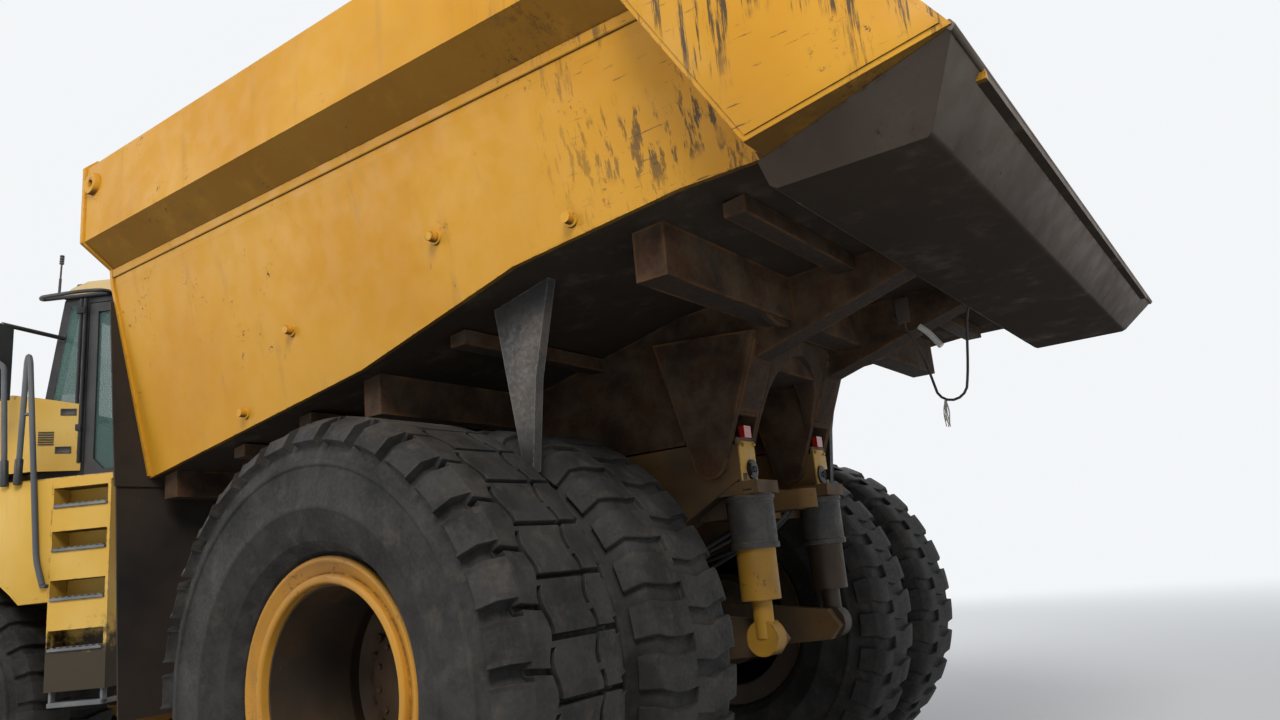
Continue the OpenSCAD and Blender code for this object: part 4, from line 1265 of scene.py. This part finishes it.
# Side windows: the opening in the walls, and the pane that overlaps its edge
WINDOW = [(1.000, 3.045), (1.000, 3.845), (1.094, 3.845), (1.222, 3.045)]
PANE = [(0.992, 3.037), (0.992, 3.853), (1.100, 3.853), (1.231, 3.037)]
ROOF = [(-0.338, 3.925), (-0.300, 4.020), (-0.200, 4.048), (0.980, 4.048), (1.120, 4.005), (1.178, 3.925)]
ROOF_HALF = 0.912


def make_cab_walls():
    """The cab's walls, with their full side windows cut into a copy of the solid."""
    cut_side(WINDOW, 0.800, 1.000)
    cutter = on_both_sides(done("cutter"), "window_cutter")
    place_piece(cutter, TO_FRONT)
    walls = copied(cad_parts["cab_shell"], Matrix())
    bpy.ops.object.mode_set(mode="EDIT")
    bpy.ops.mesh.select_all(action="SELECT")
    bpy.ops.mesh.remove_doubles(threshold=0.00005)
    bpy.ops.object.mode_set(mode="OBJECT")
    cut = walls.modifiers.new("windows", "BOOLEAN")
    cut.operation = "DIFFERENCE"
    cut.object = cutter
    bpy.ops.object.modifier_apply(modifier="windows")
    bpy.data.objects.remove(cutter)
    walls.name = "cab_walls"
    dressed(walls, "front_chassis", "cab_black")
    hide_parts("cab_shell")


def make_side_panes():
    """Glass of the side windows."""
    cut_side(PANE, 0.893, 0.901)
    mirrored("side_panes", [done("pane", 0.002, 1)], TO_FRONT, "front_chassis", "window")


def make_cab_roof():
    """Roof with its rounded rim, a little proud of the walls and open below."""
    cut_side(ROOF, -ROOF_HALF, ROOF_HALF)
    pick_faces(lambda m, n: n.z < -0.9)
    bpy.ops.mesh.delete(type="FACE")
    roof = done("cab_roof", 0.030, 4)
    dressed(place_piece(roof, TO_FRONT), "front_chassis", "roof_paint")


def make_pillar_tubes():
    """Black tubes of the pillars beside the door, and their clamps."""
    parts = []
    for x_low, x_high, y in ((0.982, 0.976, 0.918), (1.020, 1.012, 0.914)):
        bent_tube([(x_low, y, 2.620), (x_low - 0.004, y, 3.20), (x_high, y, 3.900)], 0.014, 3)
        parts.append(done("pillar_tube"))
    for z in (2.860, 3.780):
        block((0.966, 0.898, z), (1.036, 0.936, z + 0.05))
        parts.append(done("clamp", 0.004))
    mirrored("pillar_tubes", parts, TO_FRONT, "front_chassis", "cab_black")


# Skirts beside the steps, and their arch round the front axle
SKIRT_BACK = 0.568
SKIRT_FOOT = 1.600
SKIRT_TOP = 2.385
ARCH_R = 1.030


def make_skirts():
    """Yellow panels beside the steps, cut round the front tyres."""
    turns = [math.radians(a) for a in range(40, 76, 5)]
    arch = [(FRONT_AXLE_X - ARCH_R*math.cos(turn), FRONT_SIZE[0] + ARCH_R*math.sin(turn)) for turn in turns]
    foot = (SKIRT_BACK, SKIRT_FOOT)
    cut_side([(SKIRT_BACK, SKIRT_TOP), foot] + arch + [(1.290, SKIRT_TOP)], 1.706, 1.722)
    parts = [done("skirt", 0.005)]
    raised = [(x + 0.004, z + 0.022) for x, z in arch]
    cut_side([foot, (SKIRT_BACK, SKIRT_FOOT + 0.025)] + raised + arch[::-1], 1.560, 1.718)
    parts.append(done("lip"))
    mirrored("fender_skirts", parts, TO_FRONT, "front_chassis", "step_paint")


# Walkway and steps: first rib's or tooth's place, and levels
FIRST_X = 0.215
STEP_LEVELS = (1.290, 1.600, 1.910, 2.190)
HUNG_LOW = 0.955


def make_deck_mats():
    """Grey ribbed mat on each walkway."""
    block((0.20, 0.94, 2.3885), (0.90, 1.715, 2.392))
    parts = [done("mat", 0.003, 1)]
    for i in range(22):
        x = FIRST_X + i*0.0315
        block((x, 0.95, 2.391), (x + 0.014, 1.705, 2.3945))
        parts.append(done("rib"))
    mirrored("deck_mats", parts, TO_FRONT, "front_chassis", "mat_grey")


def make_step_plates():
    """Toothed plates in the steps of the box, and the step that hangs below it."""
    parts = []
    for z in STEP_LEVELS:
        block((0.195, 1.575, z + 0.001), (0.555, 1.735, z + 0.020))
        framed(lambda m, n: n.y > 0.9, 0.004)
        parts.append(done("step", 0.003, 1))
        for i in range(8):
            x = FIRST_X + i*0.043
            block((x, 1.590, z + 0.020), (x + 0.020, 1.728, z + 0.027))
            parts.append(done("tooth", 0.002, 1))
    for x in (0.195, 0.535):
        block((x, 1.655, HUNG_LOW), (x + 0.018, 1.700, 1.300))
        parts.append(done("strap", 0.002, 1))
    block((0.195, 1.520, HUNG_LOW), (0.553, 1.715, HUNG_LOW + 0.030))
    parts.append(done("low_step", 0.004, 1))
    mirrored("step_plates", parts, TO_FRONT, "front_chassis", "step_grey")


GRAB_Y = 1.745
RAIL_LOOPS = (
    [(0.800, 2.366), (0.779, 3.195), (0.768, 3.236), (0.755, 3.190), (0.643, 1.870), (0.594, 1.710)],
    [(0.890, 2.366), (0.940, 3.170), (0.985, 3.210), (1.500, 3.210), (1.540, 3.170), (1.540, 2.366)],
)


def make_grab_rails():
    """Bent tubes beside the door and along the walkway, with their black sleeves."""
    parts = []
    sleeves = []
    for loop in RAIL_LOOPS:
        points = [(x, GRAB_Y, z) for x, z in loop]
        bent_tube(rounded_path(points, 0.06, 6), 0.018, 4)
        parts.append(done("rail"))
        foot, up = Vector(points[0]), Vector(points[1]) - Vector(points[0])
        round_bar(foot, foot + up.normalized()*0.17, 0.025, 20)
        sleeves.append(done("sleeve", 0.004))
    round_bar((0.790, GRAB_Y, 2.830), (0.724, GRAB_Y, 2.830), 0.011, 12)
    parts.append(done("cross_bar"))
    for x in (0.800, 0.890, 1.540):
        block((x - 0.014, 1.715, 2.366), (x + 0.014, GRAB_Y + 0.014, 2.388))
        parts.append(done("clip", 0.003, 1))
    block((0.568, 1.712, 1.690), (0.604, GRAB_Y + 0.012, 1.712))
    parts.append(done("foot", 0.003, 1))
    rails = mirrored("grab_rails", parts, TO_FRONT, "front_chassis", "grey_paint")
    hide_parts("handrails")
    mirrored("rail_sleeves", sleeves, TO_FRONT, "front_chassis", "black_trim")


ROOF_LOOP = [(1.000, 0.922, 3.925), (1.200, 0.930, 3.925), (1.290, 0.985, 3.905), (1.230, 1.070, 3.895),
             (0.900, 1.100, 3.895), (0.750, 1.050, 3.905), (0.760, 0.920, 3.925), (1.000, 0.922, 3.925)]
AERIAL_FOOT = Vector((1.190, 0.930, 3.925))
AERIAL_TIP = Vector((1.172, 0.937, 4.275))
# Foot, rod, four rings and tip: from and to as shares of the height, radius, sides, rounding
AERIAL = [(0, 0.45, 0.010, 16, 0.002, 1), (0.44, 0.80, 0.007, 16)]
AERIAL += [(0.78 + 0.055*i, 0.82 + 0.055*i, 0.017, 20, 0.003) for i in range(4)]
AERIAL += [(0.78, 0.99, 0.012, 16, 0.002, 1)]


def make_roof_fittings():
    """Tube loop beside the roof's front corner, and the aerial on it."""
    bent_tube(rounded_path(ROOF_LOOP, 0.07, 5), 0.015, 3)
    parts = [done("loop")]
    for x in (0.780, 1.080):
        block((x, 0.895, 3.913), (x + 0.026, 0.925, 3.937))
        parts.append(done("clamp", 0.003, 1))
    parts = [on_both_sides(joined("loops", parts), "roof_loops")]
    for low, high, radius, sides, *edge in AERIAL:
        round_bar(AERIAL_FOOT.lerp(AERIAL_TIP, low), AERIAL_FOOT.lerp(AERIAL_TIP, high), radius, sides)
        parts.append(done("aerial", *edge))
    mounted("roof_fittings", parts, TO_FRONT, "front_chassis", "black_trim")


# The hood's slanted rear panel: a point on it, and how far it runs back for its width
PANEL_X = 0.970
PANEL_Y = 0.912
PANEL_RUN = 0.260
PANEL_RISE = 0.168


def on_hood_panel(x, z):
    """Move onto the panel, whose face looks along a part's y axis."""
    y = PANEL_Y + (x - PANEL_X)*PANEL_RISE/PANEL_RUN
    return Matrix.Translation((x, y, z)) @ Matrix.Rotation(math.atan2(PANEL_RISE, PANEL_RUN), 4, "Z")


def make_hood_details():
    """Recessed pockets and slatted vent of the hood's rear panel."""
    parts = []
    for x, z in ((1.045, 3.003), (1.066, 2.716)):
        block((-0.052, 0.0005, -0.026), (0.052, 0.006, 0.026))
        framed(lambda m, n: n.y > 0.9, 0.008, (0, -0.004, 0))
        parts.append(place_piece(done("pocket", 0.002), on_hood_panel(x, z)))
    for i in range(6):
        block((-0.050, 0.0005, -0.005), (0.050, 0.010, 0.003))
        parts.append(place_piece(done("slat", 0.001, 1), on_hood_panel(1.160, 2.760 + i*0.018)))
    mirrored("hood_fittings", parts, TO_FRONT, "hood", "black_trim")


# Floor, world and lamps

SKY_SHOWN = (0.90, 0.92, 0.94)
SKY_LIGHT = (0.80, 0.87, 1.0)
SKY_STRENGTH = 0.38
FLOOR_SIZE = 300
FADE_FROM = 5.5
FADE_TO = 24.0
AIM = Vector((0, 0, 1.5))
# Place, width, watts and colour of each lamp
LAMPS = {
    "key": ((-9, 9, 11), 6, 1450, (1.0, 0.97, 0.92)),
    "fill": ((8, 12, 7), 8, 620, (1, 1, 1)),
    "back": ((4, -12, 9), 8, 750, (1, 1, 1)),
}


def make_floor():
    """A pale floor that fades into the backdrop."""
    bpy.ops.mesh.primitive_plane_add(size=FLOOR_SIZE, location=(0, 0, -0.001))
    floor = bpy.context.object
    floor.name = "floor"
    skin = Surface("floor")
    reach = skin.add("ShaderNodeVectorMath", operation="LENGTH")
    skin.link(skin.place, reach.inputs[0])
    far = skin.between(reach.outputs["Value"], FADE_FROM, FADE_TO)
    skin.put("Emission Color", as_colour(SKY_SHOWN))
    skin.put("Emission Strength", far)
    skin.put("Specular IOR Level", 0.0)
    colour = skin.blend(far, (0.72, 0.72, 0.71), (0.0, 0.0, 0.0))
    floor.data.materials.append(skin.finish(colour, 0.9))


def make_world():
    """A bright backdrop for the camera, its mirrors and its glass, and a dimmer sky as light."""
    world = bpy.data.worlds.new("studio")
    bpy.context.scene.world = world
    world.use_nodes = True
    nodes, links = world.node_tree.nodes, world.node_tree.links
    shown = nodes["Background"]
    lit = nodes.new("ShaderNodeBackground")
    for sky, colour, strength in ((shown, SKY_SHOWN, 1.0), (lit, SKY_LIGHT, SKY_STRENGTH)):
        sky.inputs["Color"].default_value = as_colour(colour)
        sky.inputs["Strength"].default_value = strength
    rays = nodes.new("ShaderNodeLightPath")
    seen = rays.outputs["Is Camera Ray"]
    for kind in ("Is Glossy Ray", "Is Transmission Ray"):
        either = nodes.new("ShaderNodeMath")
        either.operation = "MAXIMUM"
        links.new(seen, either.inputs[0])
        links.new(rays.outputs[kind], either.inputs[1])
        seen = either.outputs[0]
    blend = nodes.new("ShaderNodeMixShader")
    for number, source in enumerate((seen, lit.outputs[0], shown.outputs[0])):
        links.new(source, blend.inputs[number])
    links.new(blend.outputs[0], nodes["World Output"].inputs["Surface"])


def make_lamp(name, place, size, watts, colour):
    """A round lamp that looks at the middle of the truck."""
    data = bpy.data.lights.new(name, "AREA")
    data.shape = "DISK"
    data.size = size
    data.energy = watts
    data.color = colour
    lamp = bpy.data.objects.new(name, data)
    bpy.context.scene.collection.objects.link(lamp)
    lamp.location = place
    lamp.rotation_euler = (AIM - Vector(place)).to_track_quat("-Z", "Y").to_euler()


make_camera()
make_cable()
paint_nodes()
make_tyres()
make_wheels()
make_bin_trim()
make_tail_plates()
make_tail_beam()
make_underframe()
make_bracket_plates()
make_bracket_fittings()
make_strut_covers()
make_hoses()
make_torn_flange()
make_cab_walls()
make_side_panes()
make_cab_roof()
make_pillar_tubes()
make_skirts()
make_deck_mats()
make_step_plates()
make_grab_rails()
make_roof_fittings()
make_hood_details()
make_floor()
make_world()
for name, settings in LAMPS.items():
    make_lamp(name, *settings)

bpy.context.scene.view_settings.view_transform = "Standard"
